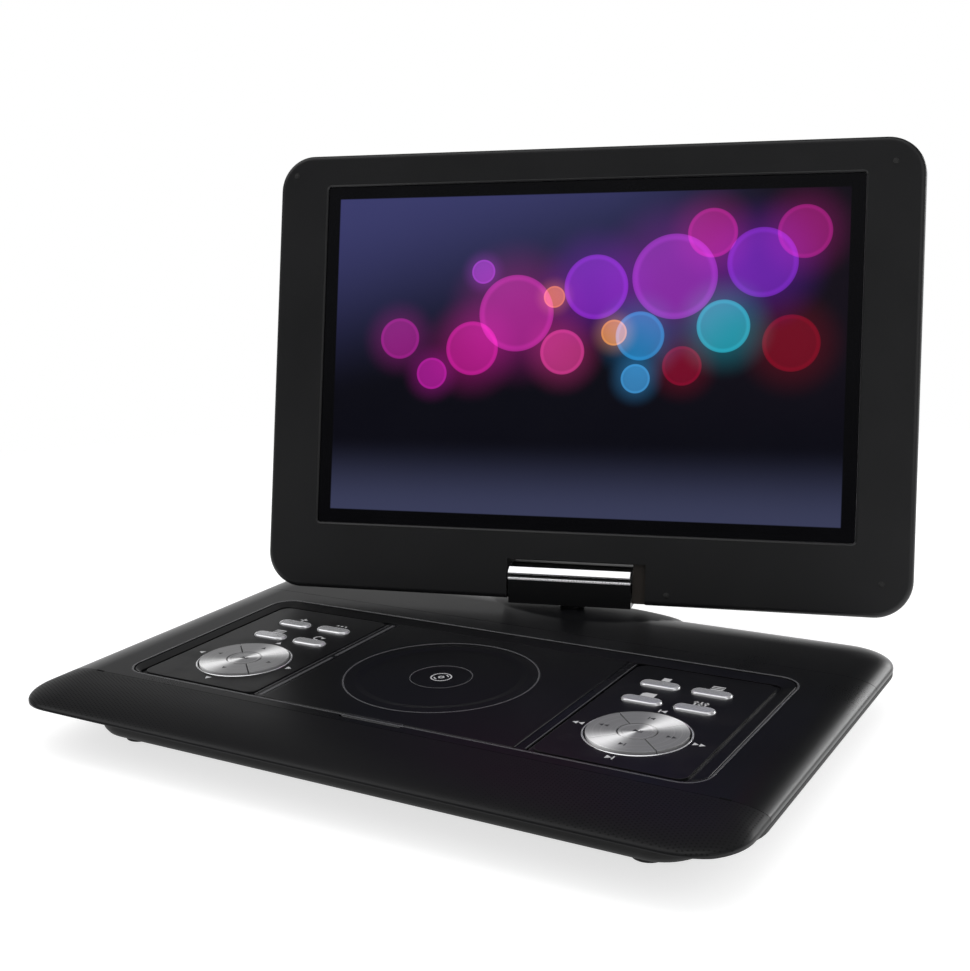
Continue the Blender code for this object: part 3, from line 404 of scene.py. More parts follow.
def lens_glass(name):
    """Coated pickup lens with a cloudy violet bloom."""
    paint = Paint(name)
    bloom = paint.noise(3.0, 1.0)
    return paint.surface(Base_Color=paint.blend(bloom, (0.02, 0.01, 0.06), (0.10, 0.03, 0.22)),
                         Roughness=0.04 + bloom * 0.03, Coat_Weight=1.0)


# Discs of light in the screen's picture: place and radius as shares of the picture's height, then tint
LIGHT_DISCS = (
    (0.46, 0.52, 0.085, (0.55, 0.01, 0.30)), (0.60, 0.63, 0.120, (0.50, 0.02, 0.34)),
    (0.75, 0.51, 0.070, (0.62, 0.04, 0.26)), (0.85, 0.71, 0.100, (0.26, 0.02, 0.60)),
    (0.99, 0.56, 0.075, (0.02, 0.26, 0.60)), (1.09, 0.74, 0.130, (0.34, 0.03, 0.52)),
    (1.24, 0.59, 0.080, (0.02, 0.42, 0.55)), (1.35, 0.78, 0.105, (0.20, 0.02, 0.55)),
    (1.20, 0.87, 0.075, (0.42, 0.01, 0.24)), (1.47, 0.87, 0.080, (0.36, 0.01, 0.20)),
    (0.91, 0.57, 0.040, (0.85, 0.30, 0.02)), (0.72, 0.68, 0.034, (0.80, 0.22, 0.04)),
    (1.44, 0.54, 0.085, (0.22, 0.00, 0.01)), (1.12, 0.47, 0.060, (0.24, 0.00, 0.02)),
    (0.33, 0.44, 0.050, (0.46, 0.01, 0.34)), (0.22, 0.55, 0.065, (0.36, 0.01, 0.26)),
    (0.49, 0.76, 0.038, (0.36, 0.04, 0.55)), (0.98, 0.43, 0.045, (0.05, 0.30, 0.65)),
)


PICTURE_BORDER = Vector((7.6, 0.0, 8.2))
PICTURE_HEIGHT = 187.1


def lit_picture(name):
    """Dark glass with a lit picture: soft discs of coloured light on a navy ground."""
    paint = Paint(name)
    spot = paint.turned(SCREEN.translation, SCREEN.to_euler())
    x, _, z = spot.axes()
    border = PICTURE_BORDER * MM
    low = Vector((GLASS_LOW.x, 0.0, GLASS_LOW.z)) * MM + border - Vector((GAP, 0.0, GAP)) * MM
    wide, tall = -2.0 * low.x, PICTURE_HEIGHT * MM
    u, v = (x - low.x) / tall, (z - low.z) / tall
    edge = 0.004
    inside = (u.step(0.0, edge) * u.step(wide / tall, wide / tall - edge)
              * v.step(0.0, edge) * v.step(1.0, 1.0 - edge))
    ground = paint.blend((v - 0.25 * u).step(0.35, 1.0), (0.001, 0.001, 0.004), (0.040, 0.042, 0.140))
    ground = paint.blend(v.step(0.24, 0.0) * 0.7, ground, (0.055, 0.062, 0.13))
    ground = paint.blend(u.step(0.85, 1.5) * v.step(0.2, 0.6), ground, (0.004, 0.002, 0.006))
    picture = ground
    for across, up, radius, tint in LIGHT_DISCS:
        far = ((u - across) ** 2.0 + (v - up) ** 2.0).single("SQRT")
        body = far.step(radius, radius * 0.86) * 0.45
        rim = far.step(radius * 0.80, radius * 0.97) * far.step(radius, radius * 0.985) * 0.5
        glow = far.step(radius * 2.1, radius * 0.4) * 0.22
        share = body + rim + glow
        picture = paint.blend(share, picture, tint, "ADD")
    lit = paint.blend(inside, (0.0, 0.0, 0.0), picture)
    smear = paint.noise(30.0, 3.0)
    return paint.surface(Base_Color=paint.blend(smear, (0.0015, 0.0015, 0.002), (0.003, 0.003, 0.004)),
                         Roughness=0.05 + smear.step(0.5, 0.8) * 0.04, Specular_IOR_Level=0.4,
                         Emission_Color=lit, Emission_Strength=1.0)


FINISHES = {
    "case_plastic": lambda s: moulded("case_plastic", s.case, 0.30, s.grain, 0.015, 0.35),
    "lid_plastic": lambda s: moulded("lid_plastic", tinted(s.case, 0.9), 0.32, s.grain * 0.8, 0.012, 0.35),
    "tub_plastic": lambda s: moulded("tub_plastic", tinted(s.case, 0.55), 0.55, s.grain * 1.6, 0.03, 0.3),
    "grille_plastic": lambda s: moulded("grille_plastic", s.grille, 0.40, s.grain, 0.025, 0.28),
    # Darker discs for the speaker holes: painted shade.
    "grille_hole": lambda s: moulded("grille_hole", tinted(s.grille, 0.5), 0.6, s.grain, 0.02, 0.2),
    "hole_black": lambda s: moulded("hole_black", (0.0015, 0.0015, 0.0017), 0.8, s.grain, 0.02, 0.1),
    "bezel_plastic": lambda s: moulded("bezel_plastic", tinted(s.case, 1.3), 0.42, s.grain),
    "hinge_plastic": lambda s: moulded("hinge_plastic", tinted(s.case, 0.7), 0.32, s.grain, 0.015),
    "knuckle_brown": lambda s: moulded("knuckle_brown", (0.020, 0.014, 0.010), 0.5, s.grain),
    "frame_gloss": lambda s: glossy("frame_gloss", tinted(s.panel, 0.8), 0.30),
    "panel_gloss": lambda s: glossy("panel_gloss", s.panel, 0.34),
    "well_gloss": lambda s: glossy("well_gloss", tinted(s.panel, 1.6), 0.22),
    "spun_metal": lambda s: spun("spun_metal", s.metal),
    "key_chrome": lambda s: plated("key_chrome", tinted(s.metal, 1.1), 0.22, 0.72),
    "trim_satin": lambda s: satin("trim_satin", tinted(s.metal, 1.15)),
    # Pale gloss for thin beads: painted highlight lines along crests, rims, rails and the catch.
    "ring_edge": lambda s: glossy("ring_edge", (0.070, 0.070, 0.074), 0.22),
    "trim_chrome": lambda s: plated("trim_chrome", tinted(s.metal, 1.08), 0.09),
    "plain_steel": lambda s: brushed("plain_steel", (0.50, 0.50, 0.52)),
    "contact_gold": lambda s: plated("contact_gold", (0.80, 0.58, 0.22), 0.2),
    "foot_rubber": lambda s: soft_rubber("foot_rubber", (0.012, 0.012, 0.012)),
    "solder_mask": lambda s: solder_mask("solder_mask", (0.02, 0.12, 0.05)),
    "cell_wrap": lambda s: glossy("cell_wrap", (0.03, 0.06, 0.20), 0.3),
    "white_ink": lambda s: ink("white_ink", s.printing),
    "dark_ink": lambda s: ink("dark_ink", (0.03, 0.03, 0.032)),
    "pickup_lens": lambda s: lens_glass("pickup_lens"),
    "lit_picture": lambda s: lit_picture("lit_picture"),
}


def finish(name):
    """A finish by name, made on first use."""
    return bpy.data.materials.get(name) or FINISHES[name](bpy.context.scene.player_finish)


# Mesh helpers, all in millimetres
def arc(centre, radius, start, end, steps):
    angles = [math.radians(start + (end - start) * i / steps) for i in range(steps + 1)]
    return [(centre[0] + radius * math.cos(a), centre[1] + radius * math.sin(a)) for a in angles]


def rounded(left, right, low, high, radius, steps=FINE):
    """A rectangle with round corners, counter-clockwise."""
    corners = ((right - radius, high - radius, 0), (left + radius, high - radius, 90),
               (left + radius, low + radius, 180), (right - radius, low + radius, 270))
    points = []
    for x, y, start in corners:
        points += arc((x, y), radius, start, start + 90, steps)
    return points


def shifted(outline, x, y):
    return [(u + x, v + y) for u, v in outline]


PLANES = {
    "X": lambda u, v, w: (w, u, v),
    "Y": lambda u, v, w: (u, w, v),
    "Z": lambda u, v, w: (u, v, w),
}


def loft(rings, axis="Z"):
    """A closed skin through outlines of equal point counts, each given with its level."""
    mesh = bmesh.new()
    point = PLANES[axis]
    loops = [[mesh.verts.new(Vector(point(u, v, level)) * MM) for u, v in outline] for outline, level in rings]
    for below, above in zip(loops, loops[1:]):
        for i in range(len(below)):
            j = (i + 1) % len(below)
            mesh.faces.new((below[i], below[j], above[j], above[i]))
    mesh.faces.new(loops[0])
    mesh.faces.new(loops[-1])
    bmesh.ops.recalc_face_normals(mesh, faces=mesh.faces)
    return mesh


def hoop(rings):
    """A closed band through outlines of equal point counts, the last joined to the first."""
    mesh = bmesh.new()
    loops = [[mesh.verts.new(Vector((u, v, level)) * MM) for u, v in outline] for outline, level in rings]
    for below, above in zip(loops, loops[1:] + loops[:1]):
        for i in range(len(below)):
            j = (i + 1) % len(below)
            mesh.faces.new((below[i], below[j], above[j], above[i]))
    bmesh.ops.recalc_face_normals(mesh, faces=mesh.faces)
    return mesh


def prism(outline, low, high, axis="Z"):
    return loft([(outline, low), (outline, high)], axis)


def lathe(profile, centre=(0, 0, 0), steps=48, axis="Z"):
    """A closed turned shape from (radius, level) pairs that run from axis to axis."""
    mesh = bmesh.new()
    point = PLANES[axis]
    loops = []
    for radius, level in profile:
        if radius < 1e-6:
            loops.append([mesh.verts.new((Vector(point(0, 0, level)) + Vector(centre)) * MM)])
        else:
            loops.append([mesh.verts.new((Vector(point(u, v, level)) + Vector(centre)) * MM)
                          for u, v in arc((0, 0), radius, 0, 360, steps)[:-1]])
    for below, above in zip(loops, loops[1:]):
        for i in range(steps):
            j = (i + 1) % steps
            ring = [below[i % len(below)], below[j % len(below)], above[j % len(above)], above[i % len(above)]]
            mesh.faces.new(list(dict.fromkeys(ring)))
    bmesh.ops.recalc_face_normals(mesh, faces=mesh.faces)
    return mesh


def block(low, high):
    mesh = bmesh.new()
    bmesh.ops.create_cube(mesh, size=1.0)
    low, high = Vector(low), Vector(high)
    bmesh.ops.scale(mesh, vec=(high - low) * MM, verts=mesh.verts)
    bmesh.ops.translate(mesh, vec=(high + low) / 2 * MM, verts=mesh.verts)
    return mesh


def rod(radius, start, length, axis="Z", sides=48):
    return lathe([(0, 0), (radius, 0), (radius, length), (0, length)], start, sides, axis)


def softened(outline_at, low, high, radius, steps=5):
    """A plug with a rounded upper edge; outline_at gives the outline at an inset."""
    rings = [(outline_at(0.0), low)]
    for i in range(steps + 1):
        turn = math.pi / 2 * i / steps
        rings.append((outline_at(radius * (1 - math.cos(turn))), high - radius * (1 - math.sin(turn))))
    return loft(rings)


def joined(meshes):
    """One mesh from several."""
    whole = bmesh.new()
    for mesh in meshes:
        data = bpy.data.meshes.new("part")
        mesh.to_mesh(data)
        mesh.free()
        whole.from_mesh(data)
        bpy.data.meshes.remove(data)
    return whole


def turned(mesh, matrix):
    bmesh.ops.transform(mesh, matrix=matrix, verts=mesh.verts)
    return mesh


def shape(name, mesh):
    """A new object from a mesh, not yet part of the player."""
    data = bpy.data.meshes.new(name)
    mesh.to_mesh(data)
    mesh.free()
    made = bpy.data.objects.new(name, data)
    bpy.context.scene.collection.objects.link(made)
    return made


def bake(made):
    """Turns an object's modifiers into plain mesh."""
    graph = bpy.context.evaluated_depsgraph_get()
    data = bpy.data.meshes.new_from_object(made.evaluated_get(graph), preserve_all_data_layers=True,
                                           depsgraph=graph)
    made.modifiers.clear()
    old = made.data
    made.data = data
    bpy.data.meshes.remove(old)
    data.name = made.name
    if not data.polygons:
        raise RuntimeError(made.name + " came out empty")


def carve(made, cuts):
    """Cuts from or joins to an object, given as pairs of operation and mesh."""
    tools = []
    for operation, mesh in cuts:
        tools.append(shape("cutter", mesh))
        change = made.modifiers.new(operation.lower(), "BOOLEAN")
        change.operation = operation
        change.solver = "EXACT"
        change.object = tools[-1]
    bake(made)
    for tool in tools:
        data = tool.data
        bpy.data.objects.remove(tool)
        bpy.data.meshes.remove(data)
    return made


def taken(made):
    """The mesh of an object that is then deleted."""
    mesh = bmesh.new()
    mesh.from_mesh(made.data)
    bpy.data.objects.remove(made)
    return mesh


def settle(made, coat, body, nodes=(), sharp=28.0):
    """Shades a finished object, paints it and hands it to its body."""
    made.data.materials.clear()
    made.data.materials.append(finish(coat))
    made.data.shade_smooth()
    made.data.set_sharp_from_angle(angle=math.radians(sharp))
    even = made.modifiers.new("even", "WEIGHTED_NORMAL")
    even.keep_sharp = True
    bake(made)
    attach(made, body)
    if nodes:
        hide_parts(*nodes)
    return made


def copied(name, node, bevel=0.0):
    """A merged copy of a node's solid, with eased edges."""
    mesh = bmesh.new()
    mesh.from_mesh(NODES[node].data)
    bmesh.ops.remove_doubles(mesh, verts=mesh.verts, dist=1e-6)
    bmesh.ops.dissolve_limit(mesh, angle_limit=math.radians(0.5), verts=mesh.verts, edges=mesh.edges)
    made = shape(name, mesh)
    if bevel:
        ease = made.modifiers.new("ease", "BEVEL")
        ease.width = bevel * MM
        ease.segments = 2
        ease.limit_method = "ANGLE"
        ease.angle_limit = math.radians(40)
        bake(made)
    return made


def painted(coat, *nodes):
    """Paints nodes whose solids are shown as they are."""
    for node in nodes:
        data = NODES[node].data
        data.materials.clear()
        data.materials.append(finish(coat))


# Base covers
def plate_outline(s, share, offset):
    """Outline of the base's plate at a share of its roll, 0 at the rim and 1 on the flat."""
    side = s.roll_side * share + offset
    return rounded(-BASE_HIGH.x + side, BASE_HIGH.x - side, BASE_LOW.y + s.roll_front * share + offset,
                   BASE_HIGH.y - s.roll_rear * share - offset, max(s.base_corner - side, 6.0))


RIM_EDGE = ((0.4, 0.0), (0.12, 0.12), (0.0, 0.4))


def plate(s, offset, bottom):
    rings = [(plate_outline(s, 0.0, offset + inset), bottom + rise) for inset, rise in RIM_EDGE]
    steps = 18
    for i in range(steps, -1, -1):
        turn = math.pi / 2 * i / steps
        drop = s.roll_drop * (1 - math.cos(turn))
        rings.append((plate_outline(s, 1 - math.sin(turn), offset), COVER_TOP - offset - drop))
    return loft(rings)


def stretch(front, rear):
    return block((-300.0, front, 0.0), (300.0, rear, 60.0))


def deck_mouth(grow):
    """Outline of the deck's sunk frame at its crest."""
    return rounded(-DECK_HALF - 7.0 - grow, DECK_HALF + 7.0 + grow, DECK_FRONT - 2.0 - grow, DECK_REAR + 9.0 + grow,
                   12.0 + grow)


def deck_throat(grow):
    """Outline of the opening that holds the panels and the lid."""
    return rounded(-DECK_HALF - grow, DECK_HALF + grow, DECK_FRONT - grow, DECK_REAR + grow, 5.0 + grow)


def deck_opening():
    """The cut for the deck: a rounded crest and the ledge that its bevelled frame sits on."""
    ledge = PANEL_TOP - 0.9
    edge = ((-0.25, COVER_TOP - ledge), (0.0, 0.50), (0.15, 0.22), (0.5, 0.06), (0.95, 0.0), (0.95, -WALL))
    return loft([(deck_throat(0.0), COVER_TOP - 2 * WALL), (deck_throat(0.0), ledge)]
                + [(deck_mouth(grow), COVER_TOP - drop) for grow, drop in edge])


def build_deck_frame(_):
    low = PANEL_TOP - 0.9
    frame = hoop([(deck_mouth(-0.75), low), (deck_mouth(-0.75), COVER_TOP - 0.34),
                  (deck_mouth(-0.85), COVER_TOP - 0.24), (deck_mouth(-1.1), COVER_TOP - 0.22),
                  (deck_throat(0.25), PANEL_TOP - 0.26), (deck_throat(0.05), PANEL_TOP - 0.36),
                  (deck_throat(0.05), low)])
    settle(shape("deck_frame", frame), "frame_gloss", "base", ())
    # A thin pale bead round the crest: a painted highlight line.
    highlight_bead = [(deck_mouth(0.55 + 0.55 * u), COVER_TOP - 0.06 + 0.15 * v) for u, v in arc((0, 0), 1.0, 0, 360, 10)[:-1]]
    settle(shape("deck_bead", hoop(highlight_bead)), "ring_edge", "base", ())


def build_covers(s):
    bottom = COVER_LOW.z
    front_seam, rear_seam = COVER_LOW.y, span("top_cover")[1].y
    front = shape("front_strip", plate(s, 0.0, bottom))
    hollow = carve(shape("hollow", plate(s, WALL, bottom - 2 * WALL)),
                   [("INTERSECT", stretch(FLANGE_FRONT + WALL, 300.0))])
    ahead, behind = BASE_LOW.y - s.nose_depth, BASE_LOW.y + s.nose_depth
    under = [(ahead, bottom + 2 * s.nose_rise), (ahead, 0.0), (behind, 0.0), (behind, bottom)]
    carve(front, [("INTERSECT", stretch(-300.0, span("front_grille")[1].y)), ("DIFFERENCE", taken(hollow)),
                  ("DIFFERENCE", prism(under, -300.0, 300.0, "X"))])
    settle(front, "grille_plastic", "base", ["front_grille"])

    tab_low, tab_high = span("open_tab")
    cover = shape("deck_cover", plate(s, 0.0, bottom))
    room = 0.9
    pocket = prism(rounded(tab_low.x - room, tab_high.x + room, tab_low.y - room, tab_high.y + room, 2.0),
                   COVER_TOP - 2 * WALL, 60.0)
    carve(cover, [("INTERSECT", stretch(front_seam, rear_seam)), ("DIFFERENCE", plate(s, WALL, bottom - 2 * WALL)),
                  ("DIFFERENCE", deck_opening()), ("DIFFERENCE", pocket)])
    settle(cover, "case_plastic", "base", ["top_cover"])

    rear = shape("hinge_cover", plate(s, 0.0, bottom))
    post_low, post_high = span("swivel_post")
    centre = (post_low + post_high) / 2
    hump = bmesh.new()
    bmesh.ops.create_uvsphere(hump, u_segments=72, v_segments=32, radius=MM)
    bmesh.ops.scale(hump, vec=(70.0, 30.0, 5.0), verts=hump.verts)
    hump_top = span("rear_cover")[1].z
    bmesh.ops.translate(hump, vec=Vector((centre.x, centre.y, hump_top - 5.0)) * MM, verts=hump.verts)
    hump = carve(shape("hump", hump), [("INTERSECT", prism(plate_outline(s, 0.0, 1.0), bottom + 1.0, 60.0))])
    hole = rod((post_high.x - post_low.x) / 2 + GAP, (centre.x, centre.y, 0), 60.0)
    carve(rear, [("INTERSECT", stretch(span("rear_cover")[0].y, 300.0)), ("UNION", taken(hump)),
                 ("DIFFERENCE", plate(s, WALL, bottom - 2 * WALL)), ("DIFFERENCE", hole)])
    settle(rear, "case_plastic", "base", ["rear_cover"])

    marks = []
    for x in (-171.0, 174.0):
        marks.append(block((x - 2.6, front_seam - 0.9, COVER_TOP - 1.0),
                           (x + 2.6, front_seam + 0.5, COVER_TOP + 0.02)))
    settle(shape("seam_marks", joined(marks)), "hole_black", "base", ())


# Speaker areas: dark discs laid on the strip, painted shade standing in for perforation holes
def grille_tree():
    """Geometry nodes: rows of small dark discs laid on the strip by rays from above, painted shade in place of cut
    holes.
    """
    tree = bpy.data.node_groups.new("grille_holes", "GeometryNodeTree")
    face = tree.interface
    face.new_socket("Geometry", in_out="OUTPUT", socket_type="NodeSocketGeometry")
    kinds = (("Geometry", "Geometry"), ("Strip", "Object"), ("Centre", "Vector"), ("Width", "Float"),
             ("Depth", "Float"), ("Pitch", "Float"), ("Radius", "Float"), ("Lift", "Float"), ("Inner", "Float"),
             ("Finish", "Material"))
    for name, kind in kinds:
        face.new_socket(name, in_out="INPUT", socket_type="NodeSocket" + kind)
    graph = Graph(tree)
    entry = tree.nodes.new("NodeGroupInput")
    given = {name: Signal(graph, entry.outputs[name]) for name, _ in kinds}
    columns = (given["Width"] / given["Pitch"]).single("FLOOR")
    rows = (given["Depth"] / given["Pitch"]).single("FLOOR")
    grid = graph.node("GeometryNodeMeshGrid", None, {"Size X": given["Width"], "Size Y": given["Depth"],
                                                     "Vertices X": columns, "Vertices Y": rows})
    index = graph.node("GeometryNodeInputIndex")
    odd = (index / rows).single("FLOOR") % 2.0
    nudge = graph.node("ShaderNodeCombineXYZ", None, {"Y": odd * given["Pitch"] * 0.5})
    place = graph.node("ShaderNodeVectorMath", {"operation": "ADD"}, {0: nudge, 1: given["Centre"]})
    laid = graph.node("GeometryNodeSetPosition", None, {"Geometry": grid, "Offset": place})
    strip = graph.node("GeometryNodeObjectInfo", {"transform_space": "ORIGINAL"}, {"Object": given["Strip"]},
                       output="Geometry")
    x, y, _ = graph.node("GeometryNodeInputPosition").axes()
    above = graph.node("ShaderNodeCombineXYZ", None, {"X": x, "Y": y, "Z": 0.05})
    ray = graph.node("GeometryNodeRaycast", None, {"Target Geometry": strip, "Source Position": above,
                                                   "Ray Direction": (0, 0, -1), "Ray Length": 0.1}, "Hit Position")
    caster = ray.socket.node
    slope = Signal(graph, caster.outputs["Hit Normal"])
    missed = 1.0 - Signal(graph, caster.outputs["Is Hit"])
    steep = slope.axes()[2] < 0.55
    kept = graph.node("GeometryNodeDeleteGeometry", {"domain": "POINT"},
                      {"Geometry": laid, "Selection": missed.highest(steep)})
    seated = graph.node("GeometryNodeSetPosition", None, {"Geometry": kept, "Position": ray})
    aim = graph.node("FunctionNodeAlignRotationToVector", {"axis": "Z"}, {"Vector": slope})
    disc = graph.node("GeometryNodeMeshCircle", {"fill_type": "NGON"}, {"Vertices": 8, "Radius": given["Radius"]})
    up = graph.node("ShaderNodeCombineXYZ", None, {"Z": given["Lift"]})
    raised = graph.node("GeometryNodeTransform", None, {"Geometry": disc, "Translation": up})
    share = ((abs(x) - given["Inner"]) / 0.07).lowest(1.0) * 0.65 + 0.35
    size = graph.node("ShaderNodeCombineXYZ", None, {"X": share, "Y": share, "Z": 1.0})
    holes = graph.node("GeometryNodeInstanceOnPoints", None,
                       {"Points": seated, "Instance": raised, "Rotation": aim, "Scale": size})
    real = graph.node("GeometryNodeRealizeInstances", None, {"Geometry": holes})
    coated = graph.node("GeometryNodeSetMaterial", None, {"Geometry": real, "Material": given["Finish"]})
    end = tree.nodes.new("NodeGroupOutput")
    tree.links.new(coated.socket, end.inputs["Geometry"])
    return tree


def grown(name, tree, values):
    """A plain mesh object from a geometry nodes tree, its inputs set by identifier."""
    made = shape(name, block((0, 0, 0), (1, 1, 1)))
    change = made.modifiers.new("grow", "NODES")
    change.node_group = tree
    for item in tree.interface.items_tree:
        if item.in_out == "INPUT" and item.name in values:
            change[item.identifier] = values[item.name]
    made.update_tag()
    bake(made)
    return made


def build_grille(s):
    tree = grille_tree()
    strip = bpy.data.objects["front_strip"]
    seam = span("front_grille")[1].y
    inner, outer, front = 64.0, 190.5, BASE_LOW.y + 2.0
    # Dark discs on each side: painted shade where holes would be.
    for side, word in ((-1, "left"), (1, "right")):
        made = grown(word + "_grille_holes", tree, {
            "Strip": strip,
            "Centre": Vector((side * (inner + outer) / 2, (front + seam - 3.0) / 2, 0.0)) * MM,
            "Width": (outer - inner) * MM, "Depth": (seam - 3.0 - front) * MM,
            "Pitch": s.hole_pitch * MM, "Radius": s.hole_radius * MM, "Lift": 0.03 * MM,
            "Inner": inner * MM, "Finish": finish("grille_hole")})
        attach(made, "base")


# Underside
def screw_tree():
    """Geometry nodes: a cross-slotted screw head on every point of the input."""
    tree = bpy.data.node_groups.new("screw_heads", "GeometryNodeTree")
    face = tree.interface
    face.new_socket("Geometry", in_out="OUTPUT", socket_type="NodeSocketGeometry")
    kinds = (("Geometry", "Geometry"), ("Radius", "Float"), ("Height", "Float"), ("Finish", "Material"))
    for name, kind in kinds:
        face.new_socket(name, in_out="INPUT", socket_type="NodeSocket" + kind)
    graph = Graph(tree)
    entry = tree.nodes.new("NodeGroupInput")
    given = {name: Signal(graph, entry.outputs[name]) for name, _ in kinds}
    head = graph.node("GeometryNodeMeshCylinder", {"fill_type": "NGON"},
                      {"Vertices": 20, "Radius": given["Radius"], "Depth": given["Height"]})
    slots = []
    for long_axis, short_axis in (("X", "Y"), ("Y", "X")):
        size = graph.node("ShaderNodeCombineXYZ", None, {long_axis: given["Radius"] * 1.2,
                                                         short_axis: given["Radius"] * 0.26, "Z": given["Height"]})
        drop = graph.node("ShaderNodeCombineXYZ", None, {"Z": given["Height"] * -0.55})
        bar = graph.node("GeometryNodeMeshCube", None, {"Size": size})
        slots.append(graph.node("GeometryNodeTransform", None, {"Geometry": bar, "Translation": drop}))
    cut = graph.tree.nodes.new("GeometryNodeMeshBoolean")
    cut.operation = "DIFFERENCE"
    tree.links.new(head.socket, cut.inputs["Mesh 1"])
    for slot in slots:
        tree.links.new(slot.socket, cut.inputs["Mesh 2"])
    heads = graph.node("GeometryNodeInstanceOnPoints", None,
                       {"Points": given["Geometry"], "Instance": Signal(graph, cut.outputs["Mesh"])})
    real = graph.node("GeometryNodeRealizeInstances", None, {"Geometry": heads})
    coated = graph.node("GeometryNodeSetMaterial", None, {"Geometry": real, "Material": given["Finish"]})
    end = tree.nodes.new("NodeGroupOutput")
    tree.links.new(coated.socket, end.inputs["Geometry"])
    return tree


SCREW_PLACES = ((-150.0, 20.0), (150.0, 20.0), (-60.0, -86.0), (60.0, -86.0), (-60.0, 114.0), (60.0, 114.0))


def tub_outline(inset):
    low, high = Vector((-168.0, -101.0)), Vector((168.0, 129.5))
    return rounded(low.x + inset, high.x - inset, low.y + inset, high.y - inset, max(24.0 - inset, 6.0))


def flange_outline(s, inset):
    """Outline of the flange under the covers, which stops short of the front strip's rim."""
    half, rear = BASE_HIGH.x - inset, BASE_HIGH.y - inset
    return rounded(-half, half, FLANGE_FRONT - 0.2 + inset, rear, s.base_corner - inset)


def build_underside(s):
    flange_top = span("bottom_housing")[1].z
    flange = flange_top - 3.0
    rings = [(tub_outline(6.0), 0.5), (tub_outline(4.0), 0.85), (tub_outline(2.0), 2.0), (tub_outline(0.55), 4.0),
             (tub_outline(0.0), 6.0), (tub_outline(0.0), flange), (flange_outline(s, 1.2), flange),
             (flange_outline(s, 0.5), flange + 0.35), (flange_outline(s, 0.2), flange + 1.0),
             (flange_outline(s, 0.2), flange_top - 0.3), (flange_outline(s, 0.45), flange_top)]
    housing = shape("lower_case", loft(rings))
    inside = loft([(tub_outline(6.0 + WALL), WALL), (tub_outline(WALL), 6.0 + WALL), (tub_outline(WALL), 60.0)])
    pad = loft([(rounded(-109.5, 109.5, -59.5, 79.5, 3.5), 0.0), (rounded(-110, 110, -60, 80, 4.0), 0.25),
                (rounded(-110, 110, -60, 80, 4.0), WALL)])
    cuts = [("UNION", pad), ("DIFFERENCE", inside)]
    for node, grow in (("jack_block", (0, 0)), ("usb_card_port", (0, 0)), ("power_switch", (0.0, 5.0))):
        low, high = span(node)
        reach = math.copysign(168.0 - WALL / 2, low.x)
        cuts.append(("DIFFERENCE", block((reach - 2 * WALL, low.y - GAP - grow[0], low.z - GAP),
                                         (reach + 2 * WALL, high.y + GAP + grow[1], high.z + GAP))))
    for x, y in SCREW_PLACES:
        cuts.append(("DIFFERENCE", rod(3.4, (x, y, -1.0), 2.4, sides=32)))
    carve(housing, cuts)
    settle(housing, "tub_plastic", "base", ["bottom_housing"])

    points = bmesh.new()
    for x, y in SCREW_PLACES:
        points.verts.new(Vector((x, y, 0.9)) * MM)
    heads = shape("case_screws", points)
    change = heads.modifiers.new("grow", "NODES")
    change.node_group = screw_tree()
    values = {"Radius": 2.9 * MM, "Height": 0.9 * MM, "Finish": finish("plain_steel")}
    for item in change.node_group.interface.items_tree:
        if item.in_out == "INPUT" and item.name in values:
            change[item.identifier] = values[item.name]
    bake(heads)
    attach(heads, "base")

    for i in range(1, 5):
        low, high = span("foot_%d" % i)
        centre, radius = (low + high) / 2, (high.x - low.x) / 2
        tall = high.z - low.z
        profile = [(0, 0), (radius - 2.6, 0), (radius - 2.2, 0.25), (radius - 0.7, 0.0), (radius - 0.2, 0.2),
                   (radius, 0.7), (radius, tall), (0, tall)]
        foot = shape("rubber_foot_%d" % i, lathe(profile, (centre.x, centre.y, low.z), 40))
        settle(foot, "foot_rubber", "base", ["foot_%d" % i])


# Deck panels, keys and marks
def pill(length, width, steps=10):
    return rounded(-length / 2, length / 2, -width / 2, width / 2, width / 2 - 0.01, steps)


def sector(turn, inset):
    """Outline of a sector key about the origin."""
    outer, inner, half = DIAL_RADIUS - inset, HUB_RADIUS + 0.5 + inset, 0.25 + inset
    trim_outer, trim_inner = math.degrees(half / outer), math.degrees(half / inner)
    return (arc((0, 0), outer, turn - 45 + trim_outer, turn + 45 - trim_outer, 22)
            + arc((0, 0), inner, turn + 45 - trim_inner, turn - 45 + trim_inner, 14))


def build_panels(_):
    for side, word in ((-1, "left"), (1, "right")):
        low, high = span(word + "_panel")

        def outline(inset, low=low, high=high):
            return rounded(low.x + inset, high.x - inset, low.y + inset, high.y - inset, 4.4 + inset, 8)
        edge = [(0.0, low.z), (0.0, high.z - 1.2), (1.5, high.z - 1.2), (1.5, high.z - 0.3), (1.6, high.z - 0.1),
                (1.9, high.z)]
        panel = shape(word + "_key_plate", loft([(outline(inset), level) for inset, level in edge]))
        centre = Vector((side * DIAL.x, DIAL.y))
        hole_radius, mouth_radius = DIAL_RADIUS + GAP, DIAL_RADIUS + GAP + 0.55
        dial_hole = [(0, low.z - 1), (hole_radius, low.z - 1), (hole_radius, high.z - 0.45), (mouth_radius, high.z),
                     (mouth_radius, high.z + 1), (0, high.z + 1)]
        cuts = [("DIFFERENCE", lathe(dial_hole, (centre.x, centre.y, 0), 96))]
        for i in range(1, 5):
            key_low, key_high = span("%s_key_%d" % (word, i))
            middle, size = (key_low + key_high) / 2, key_high - key_low

            def hole(grow, middle=middle, size=size):
                return shifted(pill(size.x + 2 * grow, size.y + 2 * grow), middle.x, middle.y)
            cuts.append(("DIFFERENCE", loft([(hole(GAP), low.z - 1), (hole(GAP), high.z - 0.3),
                                             (hole(GAP + 0.3), high.z), (hole(GAP + 0.3), high.z + 1)])))
        carve(panel, cuts)
        settle(panel, "panel_gloss", "base", [word + "_panel"])
    painted("solder_mask", "left_key_board", "right_key_board")


